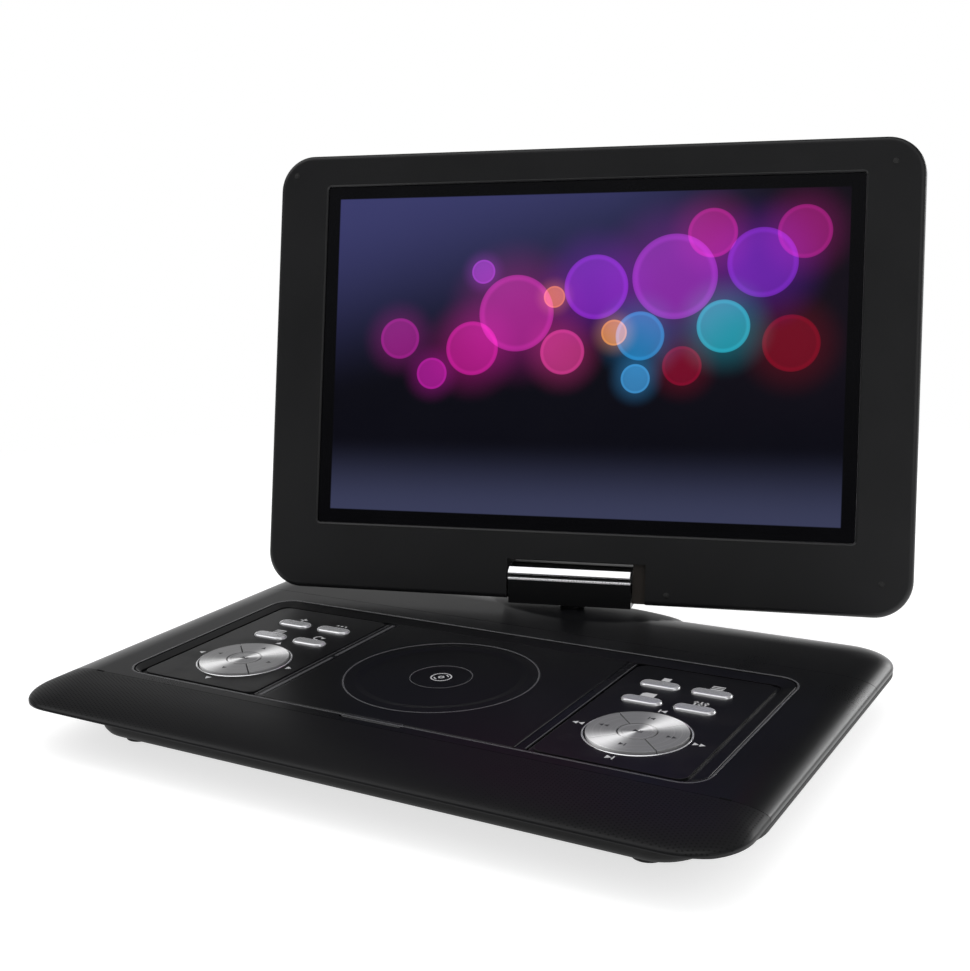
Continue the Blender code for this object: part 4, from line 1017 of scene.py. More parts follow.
def build_dials(_):
    for side, word in ((-1, "left"), (1, "right")):
        centre = (side * DIAL.x, DIAL.y)
        for name, turn in SECTORS:
            node = "%s_dial_%s" % (word, name)

            def outline(inset, turn=turn, centre=centre):
                return shifted(sector(turn, inset), *centre)
            key = shape(node + "_key", softened(outline, KEY_LOW.z, KEY_HIGH.z, 0.35, 4))
            settle(key, "spun_metal", node, [node], 40.0)
        node = word + "_dial_centre"
        base, top = KEY_LOW.z, KEY_HIGH.z
        profile = [(0, base), (HUB_RADIUS, base), (HUB_RADIUS, top - 0.5), (HUB_RADIUS - 0.15, top - 0.15),
                   (HUB_RADIUS - 0.5, top), (HUB_RADIUS - 1.3, top), (HUB_RADIUS - 1.6, top - 0.25),
                   (HUB_RADIUS - 2.0, top - 0.25), (HUB_RADIUS - 2.3, top - 0.05), (0, top - 0.02)]
        settle(shape(node + "_key", lathe(profile, (*centre, 0), 72)), "spun_metal", node, [node],
               40.0)
        near, far = DIAL_RADIUS + 0.95, DIAL_RADIUS + 1.75
        ring = lathe([(near, PANEL_TOP - 0.2), (near, PANEL_TOP + 0.12), (near + 0.2, PANEL_TOP + 0.28),
                      (near + 0.45, PANEL_TOP + 0.26), (far, PANEL_TOP - 0.02), (far, PANEL_TOP - 0.2),
                      (near, PANEL_TOP - 0.2)], (*centre, 0), 96)
        settle(shape(word + "_dial_ring", ring), "key_chrome", "base", (), 50.0)


def build_pill_keys(_):
    for word in SIDES:
        for i in range(1, 5):
            node = "%s_key_%d" % (word, i)
            low, high = span(node)
            middle, size = (low + high) / 2, high - low

            def outline(inset, middle=middle, size=size):
                return shifted(pill(size.x - 2 * inset, size.y - 2 * inset), middle.x, middle.y)
            key = shape(node + "_cap", softened(outline, low.z, high.z, 1.5, 8))
            settle(key, "key_chrome", node, [node], 50.0)


def triangle(x, y, size, turn):
    points = arc((0, 0), size, turn, turn + 360, 3)[:-1]
    return [(u + x, v + y) for u, v in points]


def bar(x, y, width, height):
    return [(x + width / 2, y + height / 2), (x - width / 2, y + height / 2), (x - width / 2, y - height / 2),
            (x + width / 2, y - height / 2)]


def ring_mark(x, y, outer, inner, low, high):
    return lathe([(inner, low), (outer, low), (outer, high), (inner, high), (inner, low)], (x, y, 0), 40)


def pictogram(kind, left, up, size=1.0):
    """Flat outlines of a plain control sign about a point."""
    signs = {
        "stop": [bar(0.0, 0.0, 2.8, 2.8)],
        "list": [bar(0.0, d, 4.4, 0.62) for d in (-1.3, 0.0, 1.3)],
        "card": [[(2.4, 1.6), (-1.4, 1.6), (-2.4, 0.6), (-2.4, -1.6), (2.4, -1.6)]],
        "level": [bar(d, 0.0, 0.6, 3.2) for d in (-1.8, 0.0, 1.8)]
                 + [bar(d, e, 1.5, 0.9) for d, e in ((-1.8, 0.7), (0.0, -0.7), (1.8, 0.4))],
        "left": [triangle(0.0, 0.0, 1.7, 180)],
        "right": [triangle(0.0, 0.0, 1.7, 0)],
        "up": [triangle(0.0, 0.0, 1.7, 90)],
        "down": [triangle(0.0, 0.0, 1.7, 270)],
        "fast": [triangle(-1.2, 0.0, 1.5, 0), triangle(1.4, 0.0, 1.5, 0)],
        "rewind": [triangle(1.2, 0.0, 1.5, 180), triangle(-1.4, 0.0, 1.5, 180)],
        "next": [triangle(-0.8, 0.0, 1.6, 0), bar(1.3, 0.0, 0.6, 2.8)],
        "previous": [triangle(0.8, 0.0, 1.6, 180), bar(-1.3, 0.0, 0.6, 2.8)],
        "dots": [bar(d, 0.0, 0.9, 0.9) for d in (-1.8, 0.0, 1.8)],
        "zoom": [bar(0.0, 0.0, 3.4, 0.6), bar(0.0, 0.0, 0.6, 3.4)],
        "turn": [arc((0.0, 0.0), 1.9, 30, 300, 16) + arc((0.0, 0.0), 1.35, 300, 30, 16), triangle(1.7, 0.6, 1.1, 20)],
        "play": [triangle(-0.9, 0.0, 1.7, 0), bar(1.2, 0.0, 0.55, 2.6), bar(2.2, 0.0, 0.55, 2.6)],
    }
    return [[(u * size + left, v * size + up) for u, v in outline] for outline in signs[kind]]


KEY_SIGNS = {"left": ("dots", "zoom", "turn", "list"), "right": ("stop", "list", "card", "level")}
DIAL_SIGNS = {"left": ("right", "up", "left", "down"), "right": ("fast", "previous", "rewind", "next")}


def build_marks(_):
    low, high = PANEL_TOP - 0.02, PANEL_TOP + 0.03
    for side, word in ((-1, "left"), (1, "right")):
        flat = []
        for i, sign in enumerate(KEY_SIGNS[word]):
            key_low, key_high = span("%s_key_%d" % (word, i + 1))
            flat += pictogram(sign, (key_low.x + key_high.x) / 2, key_high.y + 4.2, 1.5)
        for (_, turn), sign in zip(SECTORS, DIAL_SIGNS[word]):
            angle = math.radians(turn)
            reach = DIAL_RADIUS + 5.6
            flat += pictogram(sign, side * DIAL.x + reach * math.cos(angle), DIAL.y + reach * math.sin(angle), 1.2)
        marks = shape(word + "_key_marks", joined([prism(outline, low, high) for outline in flat]))
        settle(marks, "white_ink", "base", ())
        for (name, turn), sign in zip(SECTORS, DIAL_SIGNS[word]):
            angle = math.radians(turn)
            reach = (DIAL_RADIUS + HUB_RADIUS) / 2
            flat = pictogram(sign, side * DIAL.x + reach * math.cos(angle), DIAL.y + reach * math.sin(angle))
            body = "%s_dial_%s" % (word, name)
            small = [prism(outline, KEY_HIGH.z - 0.03, KEY_HIGH.z + 0.01) for outline in flat]
            settle(shape(body + "_mark", joined(small)), "dark_ink", body, ())
        body = word + "_dial_centre"
        flat = pictogram("play", side * DIAL.x, DIAL.y)
        small = [prism(outline, KEY_HIGH.z - 0.08, KEY_HIGH.z + 0.01) for outline in flat]
        settle(shape(body + "_mark", joined(small)), "dark_ink", body, ())


# Lid and drive
RAIL_WIDTH = 5.2


def build_lid(s):
    low, high = span("disc_lid")
    half = span("disc_well")[1].x - RAIL_WIDTH - GAP
    top, bottom = PANEL_TOP, PANEL_LOW.z

    def outline(inset):
        return rounded(-half + inset, half - inset, low.y + inset, high.y - inset, 1.2, 4)
    lid = shape("lid_plate", softened(outline, bottom, top, 0.45, 4))
    x, y = SPIN_AXIS.x, SPIN_AXIS.y
    outer, inner, dish = s.ring_outer, s.ring_inner, s.dish
    floor = top - 0.55
    hollow = [(0, floor), (inner - 2.6, floor), (inner - 1.8, floor + 0.06), (inner + 1.2, top - 0.10),
              (inner + 2.0, top - 0.04), (outer - 0.3, top - 0.04), (outer, top), (outer, top + 1), (0, top + 1)]
    bowl = [(0, floor - 0.22), (dish - 1.6, floor - 0.26), (dish - 0.9, floor - 0.24), (dish - 0.2, floor - 0.05),
            (dish, floor), (dish, top + 1), (0, top + 1)]
    pin = 2 * span("disc_lid")[1].x
    axis_y, axis_z = (Vector(JOINTS["lid_hinge"]["pos_m"]) / MM).yz
    carve(lid, [("DIFFERENCE", lathe(hollow, (x, y, 0), 144)), ("DIFFERENCE", lathe(bowl, (x, y, 0), 96)),
                ("UNION", rod(0.7, (-pin / 2, axis_y, axis_z), pin, "X", 20))])
    settle(lid, "lid_plastic", "lid", ["disc_lid"], 20.0)
    # Pale beads on the ring's rim and the dish's edge: painted highlight lines.
    lines = []
    for radius, width, level in ((outer, 0.50, top), (dish, 0.32, floor)):
        lines.append(lathe([(radius + width * u, level - 0.06 + 0.16 * v) for u, v in arc((0, 0), 1.0, 0, 360, 10)],
                           (x, y, 0), 120))
    settle(shape("lid_ring_lines", joined(lines)), "ring_edge", "lid", ())
    level = floor - 0.26
    sign = [ring_mark(x, y, 5.6, 4.9, level, level + 0.05), ring_mark(x, y, 1.7, 0.9, level, level + 0.05)]
    sweep = arc((x, y), 3.9, 25, 75, 10) + arc((x, y), 3.2, 75, 25, 10)
    other = arc((x, y), 3.9, 205, 255, 10) + arc((x, y), 3.2, 255, 205, 10)
    sign += [prism(outline, level, level + 0.05) for outline in (sweep, other)]
    settle(shape("lid_mark", joined(sign)), "white_ink", "lid", ())

    low, high = span("open_tab")

    def tab_outline(inset):
        return rounded(low.x + inset, high.x - inset, low.y + inset, high.y - inset, 1.2 - min(inset, 0.9), 5)
    tab = shape("lid_catch", softened(tab_outline, low.z, high.z, 0.8, 5))
    groove = block((low.x + 6, low.y + 1.7, high.z - 0.3), (high.x - 6, low.y + 2.4, high.z + 1))
    carve(tab, [("DIFFERENCE", groove)])
    settle(tab, "panel_gloss", "open_tab", ["open_tab"])
    # A pale bead round the catch's top: a painted highlight line.
    highlight_bead = [(tab_outline(0.55 + 0.25 * u), high.z - 0.10 + 0.12 * v) for u, v in arc((0, 0), 1.0, 0, 360, 8)[:-1]]
    settle(shape("lid_catch_line", hoop(highlight_bead)), "ring_edge", "open_tab", ())


def build_drive(_):
    well = copied("disc_tray", "disc_well")
    settle(well, "well_gloss", "base", ["disc_well"])
    reach, level = span("disc_well")[1].x, span("disc_well")[1].z
    front, rear = span("disc_lid")[0].y + 2.0, span("disc_lid")[1].y - 2.0
    split = front + 0.52 * (rear - front)
    # Pale strips along the tray's rails, the left rail's in two pieces: painted highlight lines.
    lines = [block((side * reach - 0.75, front, level - 0.2), (side * reach - 0.25, rear, level + 0.1))
             for side in (-1.0, 1.0)]
    lines += [block((-reach + 1.8, low, level - 0.2), (-reach + 3.6, high, level + 0.1))
              for low, high in ((front, split - 1.5), (split + 1.5, rear))]
    settle(shape("well_rail_lines", joined(lines)), "ring_edge", "base", ())
    low, high = span("turntable")
    x, y = SPIN_AXIS.x, SPIN_AXIS.y
    radius, plate_top = (high.x - low.x) / 2, 20.5
    profile = [(0, low.z), (radius, low.z), (radius, plate_top - 0.4), (radius - 0.4, plate_top),
               (radius - 3.0, plate_top), (radius - 3.2, plate_top - 0.3), (8.2, plate_top - 0.3), (7.2, plate_top),
               (7.2, high.z - 1.4), (6.4, high.z - 0.5), (4.6, high.z - 0.1), (4.2, high.z - 0.5),
               (2.2, high.z - 0.5), (1.9, high.z - 0.1), (0, high.z)]
    table = shape("disc_platter", lathe(profile, (x, y, 0), 64))
    settle(table, "well_gloss", "turntable", ["turntable"])
    pad = ring_mark(x, y, radius - 0.5, radius - 2.9, plate_top - 0.1, plate_top + 0.12)
    settle(shape("platter_pad", pad), "foot_rubber", "turntable", ())
    balls = []
    for i in range(3):
        turn = math.radians(30 + 120 * i)
        ball = bmesh.new()
        bmesh.ops.create_uvsphere(ball, u_segments=16, v_segments=10, radius=1.0 * MM)
        centre = Vector((x + 6.7 * math.cos(turn), y + 6.7 * math.sin(turn), plate_top + 1.1)) * MM
        bmesh.ops.translate(ball, vec=centre, verts=ball.verts)
        balls.append(ball)
    settle(shape("hub_balls", joined(balls)), "plain_steel", "turntable", ())
    sled = copied("pickup_carriage", "pickup_sled", 0.25)
    settle(sled, "hinge_plastic", "pickup", ["pickup_sled"])
    low, high = span("pickup_sled")
    middle = (low + high) / 2
    eye = [(0, high.z - 0.3), (2.4, high.z - 0.3), (2.4, high.z - 0.05), (2.0, high.z + 0.12), (1.1, high.z + 0.25),
           (0, high.z + 0.3)]
    settle(shape("pickup_eye", lathe(eye, (middle.x, middle.y, 0), 32)), "pickup_lens", "pickup", ())
    painted("plain_steel", "drive_chassis", "guide_rod", "lead_screw", "sled_motor", "spindle_motor")


# Sockets and switch in the lower case
def build_sockets(_):
    jacks = copied("jack_housing", "jack_block", 0.3)
    settle(jacks, "hinge_plastic", "base", ["jack_block"])
    low, high = span("jack_block")
    collars, level = [], (low.z + high.z) / 2
    pitch = (high.y - low.y) / 3
    for i, radius in enumerate((3.1, 1.8, 1.8)):
        y = (low.y + high.y) / 2 + (i - 1) * pitch
        profile = [(radius - 0.02, -0.25), (radius + 0.9, -0.25), (radius + 1.1, 0.0), (radius + 1.1, 0.1),
                   (radius - 0.02, 0.1), (radius - 0.02, -0.25)]
        collars.append(lathe(profile, (low.x, y, level), 36, "X"))
    collars.append(lathe([(0, 9.9), (0.8, 9.9), (0.8, 1.4), (0.5, 1.0), (0, 0.9)],
                         (low.x, (low.y + high.y) / 2 - pitch, level), 20, "X"))
    settle(shape("jack_collars", joined(collars)), "plain_steel", "base", ())

    port = copied("card_port", "usb_card_port", 0.2)
    settle(port, "plain_steel", "base", ["usb_card_port"])
    low, high = span("usb_card_port")
    level, usb = (low.z + high.z) / 2, (low.y + high.y) / 2 - 14.4
    tongue = block((high.x - 19.0, usb - 5.4, level + 0.3), (high.x - 2.0, usb + 5.4, level + 2.1))
    settle(shape("usb_tongue", tongue), "well_gloss", "base", ())
    pins = [block((high.x - 12.0, usb + d - 0.5, level + 0.22), (high.x - 2.6, usb + d + 0.5, level + 0.32))
            for d in (-3.5, -1.0, 1.0, 3.5)]
    settle(shape("usb_pins", joined(pins)), "contact_gold", "base", ())

    low, high = span("power_switch")
    knob = copied("switch_knob", "power_switch", 0.35)
    middle = (low.y + high.y) / 2
    grips = [("DIFFERENCE", block((high.x - 0.35, middle + d - 0.35, low.z - 1),
                                  (high.x + 1, middle + d + 0.35, high.z + 1))) for d in (-2.2, -0.75, 0.75, 2.2)]
    carve(knob, grips)
    settle(knob, "hinge_plastic", "power_switch", ["power_switch"])


# Hinge
def build_hinge(_):
    block_copy = copied("hinge_block", "hinge_barrel", 0.45)
    settle(block_copy, "hinge_plastic", "swivel", ["hinge_barrel"])
    for word, slope, coat in (("upper", 45.0, "trim_chrome"), ("lower", 0.0, "trim_satin")):
        node = "hinge_trim_" + word
        frame = SWIVEL @ Matrix.Rotation(math.radians(slope), 4, "X")
        low, high = local_span(node, frame)
        curve, rings = 0.42 * min(high.z - low.z, high.y - low.y), []
        for end in (-1, 1):
            for i in (range(7) if end < 0 else range(6, -1, -1)):
                turn = math.pi / 2 * i / 6
                inset = curve * (1 - math.sin(turn))
                rings.append((rounded(low.y + inset, high.y - inset, low.z + inset, high.z - inset,
                                      max(curve - inset, 0.05), 6), end * (high.x - curve * (1 - math.cos(turn)))))
        bar_mesh = turned(loft(rings, "X"), frame)
        settle(shape("bright_bar_" + word, bar_mesh), coat, "swivel", [node], 40.0)

    low, high = span("swivel_post")
    centre, radius = (low + high) / 2, (high.x - low.x) / 2
    profile = [(0, low.z), (radius, low.z), (radius, high.z - 2.4), (radius - 0.5, high.z - 2.0),
               (radius - 0.5, high.z - 1.2), (radius, high.z - 0.8), (radius, high.z), (0, high.z)]
    post = shape("hinge_post", lathe(profile, (centre.x, centre.y, 0), 48))
    settle(post, "hinge_plastic", "swivel", ["swivel_post"])
    painted("foot_rubber", "swivel_bushing")
    painted("plain_steel", "tilt_pin_left", "tilt_pin_right")
    painted("knuckle_brown", "hinge_bracket_left", "hinge_bracket_right")


# Screen
NOTCH = (43.5, 14.5)
# Radius that the turning hinge block stays within
SWEEP = 14.3
SCREEN_WALL = 2.1
KNUCKLE_RADIUS = 6.8
# Half length of the hinge block, with its gap
BLOCK_HALF = 36.7


def case_outline(s, inset):
    return rounded(CASE_LOW.x + inset, -CASE_LOW.x - inset, CASE_LOW.z + inset, CASE_HIGH.z - inset,
                   max(s.screen_corner - inset, 6.0))


def hollow_outline(s, inset):
    """The inside of the screen's case, kept clear of the hinge notch."""
    shell = rounded(CASE_LOW.x + inset, -CASE_LOW.x - inset, CASE_LOW.z + inset, CASE_HIGH.z - inset,
                    max(s.screen_corner - inset, 2.0))
    side, roof, low = NOTCH[0] + SCREEN_WALL, NOTCH[1] + SCREEN_WALL, CASE_LOW.z + inset
    return shell[:3 * (FINE + 1)] + [(-side, low), (-side, roof), (side, roof), (side, low)] + shell[3 * (FINE + 1):]


def build_screen_case(s):
    front, seam, start, back = CASE_LOW.y, BEZEL_HIGH.y, BACK_LOW.y, CASE_HIGH.y
    reach = NOTCH[0] + 3 * SCREEN_WALL

    def notch():
        return turned(block((-NOTCH[0], -300, -300), (NOTCH[0], 300, NOTCH[1])), SCREEN)

    def knuckles():
        return turned(rod(KNUCKLE_RADIUS, (-reach, 0, 0), 2 * reach, "X"), SCREEN)

    def window(grow, corner=2.0):
        return rounded(GLASS_LOW.x - GAP - grow, GLASS_HIGH.x + GAP + grow, GLASS_LOW.z - GAP - grow,
                       GLASS_HIGH.z + GAP + grow, corner + grow, 6)
    rings = [(3.2, 0.0), (2.2, 0.12), (1.4, 0.45), (0.8, 0.95), (0.35, 1.6), (0.1, 2.6), (0.0, 4.0)]

    def front_shell():
        mesh = loft([(case_outline(s, inset), front + depth) for inset, depth in rings]
                    + [(case_outline(s, 0.0), seam - 0.5), (case_outline(s, 0.35), seam)], "Y")
        return turned(mesh, SCREEN)
    bezel = shape("screen_frame", front_shell())
    hollow = loft([(hollow_outline(s, SCREEN_WALL), front + SCREEN_WALL),
                   (hollow_outline(s, SCREEN_WALL), seam + 1)], "Y")
    opening = loft([(window(1.1), front - 1), (window(1.1), front), (window(0.75), front + 0.12),
                    (window(0.1), front + 0.75), (window(0.0), front + 0.9), (window(0.0), seam)], "Y")
    carve(bezel, [("DIFFERENCE", turned(hollow, SCREEN)), ("DIFFERENCE", turned(opening, SCREEN)),
                  ("DIFFERENCE", notch()), ("DIFFERENCE", knuckles())])
    settle(bezel, "bezel_plastic", "screen", ["screen_bezel"])

    depth = back - start
    dome = [(0.35, 0.0), (0.0, 0.04), (0.0, 0.25), (0.6, 0.40), (1.7, 0.52), (3.4, 0.66), (5.7, 0.78), (8.8, 0.88),
            (12.4, 0.94), (16.6, 0.98), (22.0, 1.0)]
    mesh = loft([(case_outline(s, inset), start + share * depth) for inset, share in dome], "Y")
    rear = shape("screen_back", turned(mesh, SCREEN))
    bowl = loft([(hollow_outline(s, SCREEN_WALL), start - 1),
                 (hollow_outline(s, 2 * SCREEN_WALL), start + 0.45 * depth),
                 (hollow_outline(s, 9.0), back - SCREEN_WALL)], "Y")
    carve(rear, [("DIFFERENCE", turned(bowl, SCREEN)), ("DIFFERENCE", notch()), ("DIFFERENCE", knuckles())])
    settle(rear, "case_plastic", "screen", ["screen_rear_cover"])

    pin_low, pin_high = local_span("tilt_pin_left", SCREEN)
    ends = {}
    for word, end, coat in (("left", -1, "bezel_plastic"), ("right", 1, "knuckle_brown")):
        near, far = ends[word] = sorted((end * BLOCK_HALF - SCREEN_SHIFT, end * (NOTCH[0] + 0.2)))
        cheek = block((near, front + 3.2, CASE_LOW.z + 0.4), (far, back - 1.5, NOTCH[1] + 0.2))
        bore = turned(rod((pin_high.z - pin_low.z) / 2 + GAP, (-reach, 0, 0), 2 * reach, "X"), SCREEN)
        cheek = carve(shape("notch_cheek_" + word, turned(cheek, SCREEN)), [("DIFFERENCE", bore)])
        settle(cheek, coat, "screen", ())
    near, far = ends["left"]
    piece = turned(block((near, front - 1.0, CASE_LOW.z - 1.0), (far, front + 3.4, NOTCH[1] + 0.2)), SCREEN)
    face = carve(shape("notch_face_left", front_shell()), [("INTERSECT", piece)])
    settle(face, "bezel_plastic", "screen", ())
    lip = arc((0, 0), SWEEP, 50, 70, 6)
    lip = [(back - 0.3, lip[0][1]), (back - 0.3, NOTCH[1] + 0.2), (lip[-1][0], NOTCH[1] + 0.2)] + lip[::-1]
    lip = prism(lip, -NOTCH[0] - 0.2, NOTCH[0] + 0.2, "X")
    settle(shape("notch_lip", turned(lip, SCREEN)), "bezel_plastic", "screen", ())

    dots = []
    for x, z in ((-178.0, 240.9), (172.0, 239.0), (171.7, 10.0), (55.5, -2.2)):
        dome = [(0, 0.4), (1.7, 0.4), (1.7, 0.0), (1.5, -0.35), (1.0, -0.6), (0, -0.7)]
        dots.append(lathe(dome, (x, front + 0.1, z), 24, "Y"))
    settle(shape("screen_bumpers", turned(joined(dots), SCREEN)), "foot_rubber", "screen", ())


def build_display(_):
    front, back = GLASS_LOW.y, GLASS_HIGH.y

    def outline(inset):
        return rounded(GLASS_LOW.x + inset, GLASS_HIGH.x - inset, GLASS_LOW.z + inset, GLASS_HIGH.z - inset, 1.7, 4)
    mesh = loft([(outline(0.2), front), (outline(0.0), front + 0.2), (outline(0.0), back)], "Y")
    glass = shape("display_glass", turned(mesh, SCREEN))
    settle(glass, "lit_picture", "screen", ["screen_glass"])
    painted("plain_steel", "lcd_module")


def build_inner(_):
    painted("solder_mask", "main_board")
    painted("cell_wrap", "battery_pack")
    painted("hole_black", "left_speaker", "right_speaker")


# Stage
def camera_turn(s):
    """Rotation of a camera with a yaw to the left, a pitch down and a roll."""
    ahead = Vector((-math.sin(s.yaw) * math.cos(s.pitch), math.cos(s.yaw) * math.cos(s.pitch), -math.sin(s.pitch)))
    side = Vector((math.cos(s.yaw), math.sin(s.yaw), 0.0))
    rise = side.cross(ahead)
    right = side * math.cos(s.roll) + rise * math.sin(s.roll)
    upward = rise * math.cos(s.roll) - side * math.sin(s.roll)
    return Matrix((right, upward, -ahead)).transposed()


# Name, place, width, depth and power of each lamp
LAMPS = (
    ("key_lamp", (-1.0, -0.35, 1.2), 0.9, 0.9, 3.5),
    ("fill_lamp", (1.1, -0.6, 0.7), 0.9, 0.9, 2.0),
    ("rim_lamp", (0.65, 1.2, 0.48), 1.0, 0.28, 5.0),
    ("top_lamp", (0.0, -0.1, 1.6), 1.6, 0.8, 5.0),
)


def build_stage(s):
    view = bpy.data.cameras.new("camera")
    view.sensor_fit = "HORIZONTAL"
    view.sensor_width = 36.0
    view.lens = s.lens
    camera = bpy.data.objects.new("camera", view)
    camera.matrix_world = Matrix.Translation(s.place) @ camera_turn(s).to_4x4()
    scene = bpy.context.scene
    scene.collection.objects.link(camera)
    scene.camera = camera
    scene.view_settings.view_transform = "Standard"

    target = Vector((0.0, 0.05, 0.08))
    for name, place, width, depth, power in LAMPS:
        lamp = bpy.data.lights.new(name, "AREA")
        lamp.shape = "RECTANGLE"
        lamp.size, lamp.size_y = width, depth
        lamp.energy = power
        made = bpy.data.objects.new(name, lamp)
        made.location = place
        made.rotation_euler = (target - Vector(place)).to_track_quat("-Z", "Y").to_euler()
        scene.collection.objects.link(made)

    floor = bmesh.new()
    bmesh.ops.create_grid(floor, x_segments=2, y_segments=2, size=6.0)
    bmesh.ops.translate(floor, vec=(0.0, 0.0, BASE_LOW.z * MM), verts=floor.verts)
    ground = shape("floor", floor)
    paint = Paint("pale_floor")
    path = paint.tree.nodes.new("ShaderNodeLightPath")
    seen = Signal(paint, path.outputs["Is Camera Ray"]).highest(Signal(paint, path.outputs["Is Glossy Ray"]))
    seen = seen.highest(Signal(paint, path.outputs["Is Transmission Ray"]))
    tone = paint.blend(paint.noise(400.0), tinted(s.floor, 0.99), tinted(s.floor, 1.01))
    shade = paint.node("ShaderNodeBsdfDiffuse", None, {"Color": tone})
    lift = paint.node("ShaderNodeEmission", None, {"Color": (1.0, 1.0, 1.0, 1.0), "Strength": 0.45})
    near = paint.node("ShaderNodeAddShader", None, {0: shade, 1: lift})
    white = paint.node("ShaderNodeEmission", None, {"Color": (1.0, 1.0, 1.0, 1.0), "Strength": 1.0})
    x, y, _ = paint.place.axes()
    far = (x * x + y * y).single("SQRT").step(0.55, 0.95) * 0.6 + 0.4
    looked_at = paint.node("ShaderNodeMixShader", None, {0: far, 1: near, 2: white})
    paint.node_output(paint.node("ShaderNodeMixShader", None, {0: seen, 1: shade, 2: looked_at}))
    ground.data.materials.append(paint.material)

    world = bpy.data.worlds.new("pale_room")
    scene.world = world
    world.use_nodes = True
    world.node_tree.nodes.clear()
    sky = Graph(world.node_tree)
    path = sky.tree.nodes.new("ShaderNodeLightPath")
    camera_ray = Signal(sky, path.outputs["Is Camera Ray"]).highest(Signal(sky, path.outputs["Is Transmission Ray"]))
    mirrored = Signal(sky, path.outputs["Is Glossy Ray"])
    _, ahead, rise = sky.node("ShaderNodeTexCoord", output="Generated").axes()
    room = rise.step(0.10, 0.55) * (2.4 * s.front) + 0.6 * s.front
    wall = ahead.step(-0.15, 0.55) * rise.step(0.36, 0.10)
    backdrop = room + (1.0 - room) * wall
    level = camera_ray.highest(mirrored * backdrop + (1.0 - mirrored) * s.sky)
    glow = sky.node("ShaderNodeBackground", None, {"Color": (1.0, 1.0, 1.0, 1.0), "Strength": level})
    end = sky.tree.nodes.new("ShaderNodeOutputWorld")
    sky.tree.links.new(glow.socket, end.inputs["Surface"])


# Operators, panel and registration
class PlayerOperator:
    """What the operators share: the function that builds and the settings it takes."""
    bl_options = {"REGISTER", "UNDO"}
    settings = "player_shape"

    def execute(self, context):
        type(self).build(getattr(context.scene, self.settings))
        return {"FINISHED"}


class PLAYER_OT_stage(PlayerOperator, bpy.types.Operator):
    """Add the camera, the lamps, the floor and the pale surroundings"""
    bl_idname = "disc_player.stage"
    bl_label = "Stage"
    settings = "player_stage"
    build = staticmethod(build_stage)


class PLAYER_OT_covers(PlayerOperator, bpy.types.Operator):
    """Build the three covers of the base"""
    bl_idname = "disc_player.covers"
    bl_label = "Base Covers"
    build = staticmethod(build_covers)


class PLAYER_OT_deck_frame(PlayerOperator, bpy.types.Operator):
    """Build the bevelled frame and the fine pale bead round the deck, a painted highlight line"""
    bl_idname = "disc_player.deck_frame"
    bl_label = "Deck Frame"
    build = staticmethod(build_deck_frame)


class PLAYER_OT_grille(PlayerOperator, bpy.types.Operator):
    """Lay dark discs on the front strip as painted shade for the speaker holes"""
    bl_idname = "disc_player.grille"
    bl_label = "Speaker Holes"
    build = staticmethod(build_grille)


class PLAYER_OT_underside(PlayerOperator, bpy.types.Operator):
    """Build the lower case, its screws and feet"""
    bl_idname = "disc_player.underside"
    bl_label = "Lower Case"
    build = staticmethod(build_underside)


class PLAYER_OT_panels(PlayerOperator, bpy.types.Operator):
    """Build the two gloss key panels"""
    bl_idname = "disc_player.panels"
    bl_label = "Key Panels"
    build = staticmethod(build_panels)


class PLAYER_OT_dials(PlayerOperator, bpy.types.Operator):
    """Build the round key clusters"""
    bl_idname = "disc_player.dials"
    bl_label = "Round Keys"
    build = staticmethod(build_dials)


class PLAYER_OT_pill_keys(PlayerOperator, bpy.types.Operator):
    """Build the plated pill keys"""
    bl_idname = "disc_player.pill_keys"
    bl_label = "Pill Keys"
    build = staticmethod(build_pill_keys)


class PLAYER_OT_marks(PlayerOperator, bpy.types.Operator):
    """Print plain control signs beside and on the keys"""
    bl_idname = "disc_player.marks"
    bl_label = "Printed Signs"
    build = staticmethod(build_marks)


class PLAYER_OT_lid(PlayerOperator, bpy.types.Operator):
    """Build the disc lid and its catch"""
    bl_idname = "disc_player.lid"
    bl_label = "Disc Lid"
    build = staticmethod(build_lid)


class PLAYER_OT_drive(PlayerOperator, bpy.types.Operator):
    """Build the disc tray, platter and pickup"""
    bl_idname = "disc_player.drive"
    bl_label = "Disc Drive"
    build = staticmethod(build_drive)


class PLAYER_OT_sockets(PlayerOperator, bpy.types.Operator):
    """Build the sockets and the power switch"""
    bl_idname = "disc_player.sockets"
    bl_label = "Sockets and Switch"
    build = staticmethod(build_sockets)


class PLAYER_OT_hinge(PlayerOperator, bpy.types.Operator):
    """Build the hinge block, its bright bars and the post"""
    bl_idname = "disc_player.hinge"
    bl_label = "Hinge"
    build = staticmethod(build_hinge)


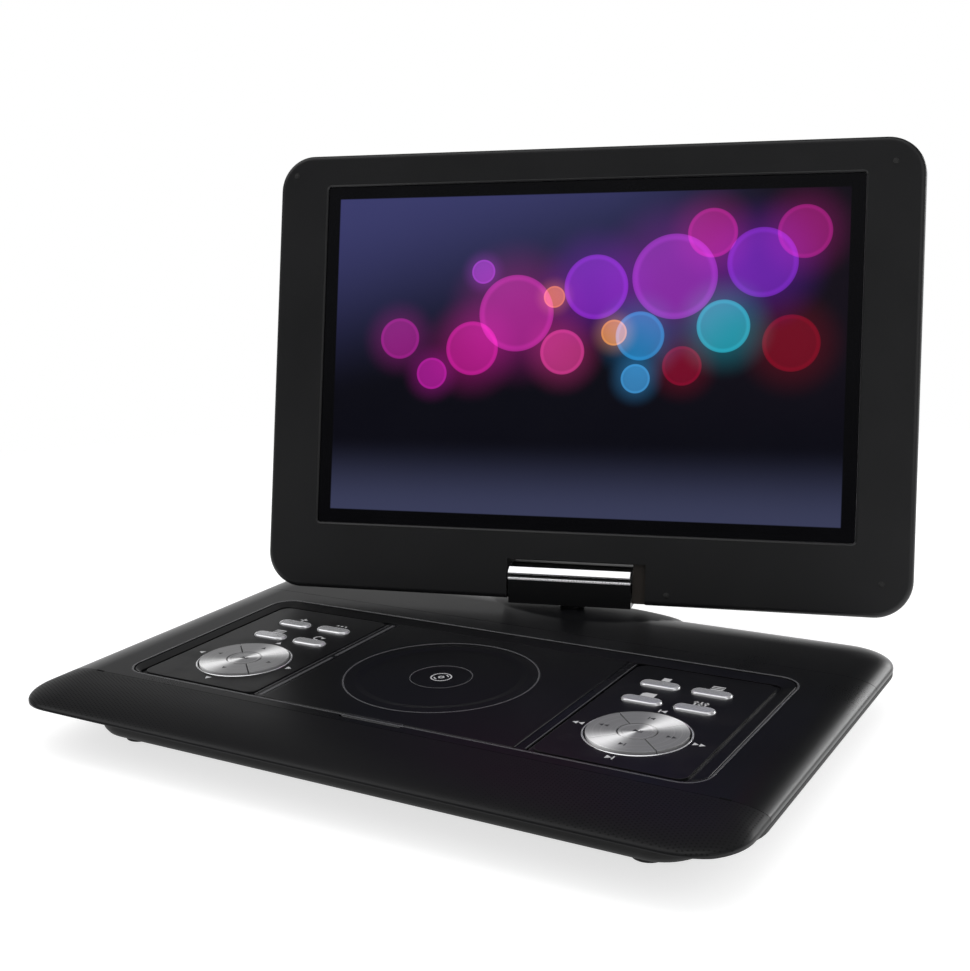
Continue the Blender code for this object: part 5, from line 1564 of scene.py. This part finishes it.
class PLAYER_OT_screen_case(PlayerOperator, bpy.types.Operator):
    """Build the screen's frame, back and bumpers"""
    bl_idname = "disc_player.screen_case"
    bl_label = "Screen Case"
    build = staticmethod(build_screen_case)


class PLAYER_OT_display(PlayerOperator, bpy.types.Operator):
    """Build the display glass with its lit picture"""
    bl_idname = "disc_player.display"
    bl_label = "Display"
    build = staticmethod(build_display)


class PLAYER_OT_inner(PlayerOperator, bpy.types.Operator):
    """Paint the board, the battery and the speakers"""
    bl_idname = "disc_player.inner"
    bl_label = "Inner Pieces"
    build = staticmethod(build_inner)


OPERATORS = (PLAYER_OT_stage, PLAYER_OT_covers, PLAYER_OT_deck_frame, PLAYER_OT_grille, PLAYER_OT_underside,
             PLAYER_OT_panels, PLAYER_OT_dials, PLAYER_OT_pill_keys, PLAYER_OT_marks, PLAYER_OT_lid,
             PLAYER_OT_drive, PLAYER_OT_sockets, PLAYER_OT_hinge, PLAYER_OT_screen_case, PLAYER_OT_display,
             PLAYER_OT_inner)


class PLAYER_PT_sidebar(bpy.types.Panel):
    """Lists the player's steps and settings"""
    bl_idname = "PLAYER_PT_sidebar"
    bl_label = "Disc Player"
    bl_space_type = "VIEW_3D"
    bl_region_type = "UI"
    bl_category = "Disc Player"

    def draw(self, context):
        column = self.layout.column(align=True)
        for operator in OPERATORS:
            column.operator(operator.bl_idname)
        for group in SETTINGS:
            box = self.layout.box()
            for name in SETTINGS[group].__annotations__:
                box.prop(getattr(context.scene, group), name)


SETTINGS = {"player_shape": PlayerShape, "player_finish": PlayerFinish, "player_stage": PlayerStage}
CLASSES = (*SETTINGS.values(), *OPERATORS, PLAYER_PT_sidebar)


def register():
    for made in CLASSES:
        bpy.utils.register_class(made)
    for name, group in SETTINGS.items():
        setattr(bpy.types.Scene, name, PointerProperty(type=group))


def unregister():
    for name in SETTINGS:
        delattr(bpy.types.Scene, name)
    for made in reversed(CLASSES):
        bpy.utils.unregister_class(made)


def main():
    register()
    for operator in OPERATORS:
        module, name = operator.bl_idname.split(".")
        getattr(getattr(bpy.ops, module), name)()


if __name__ == "__main__":
    main()
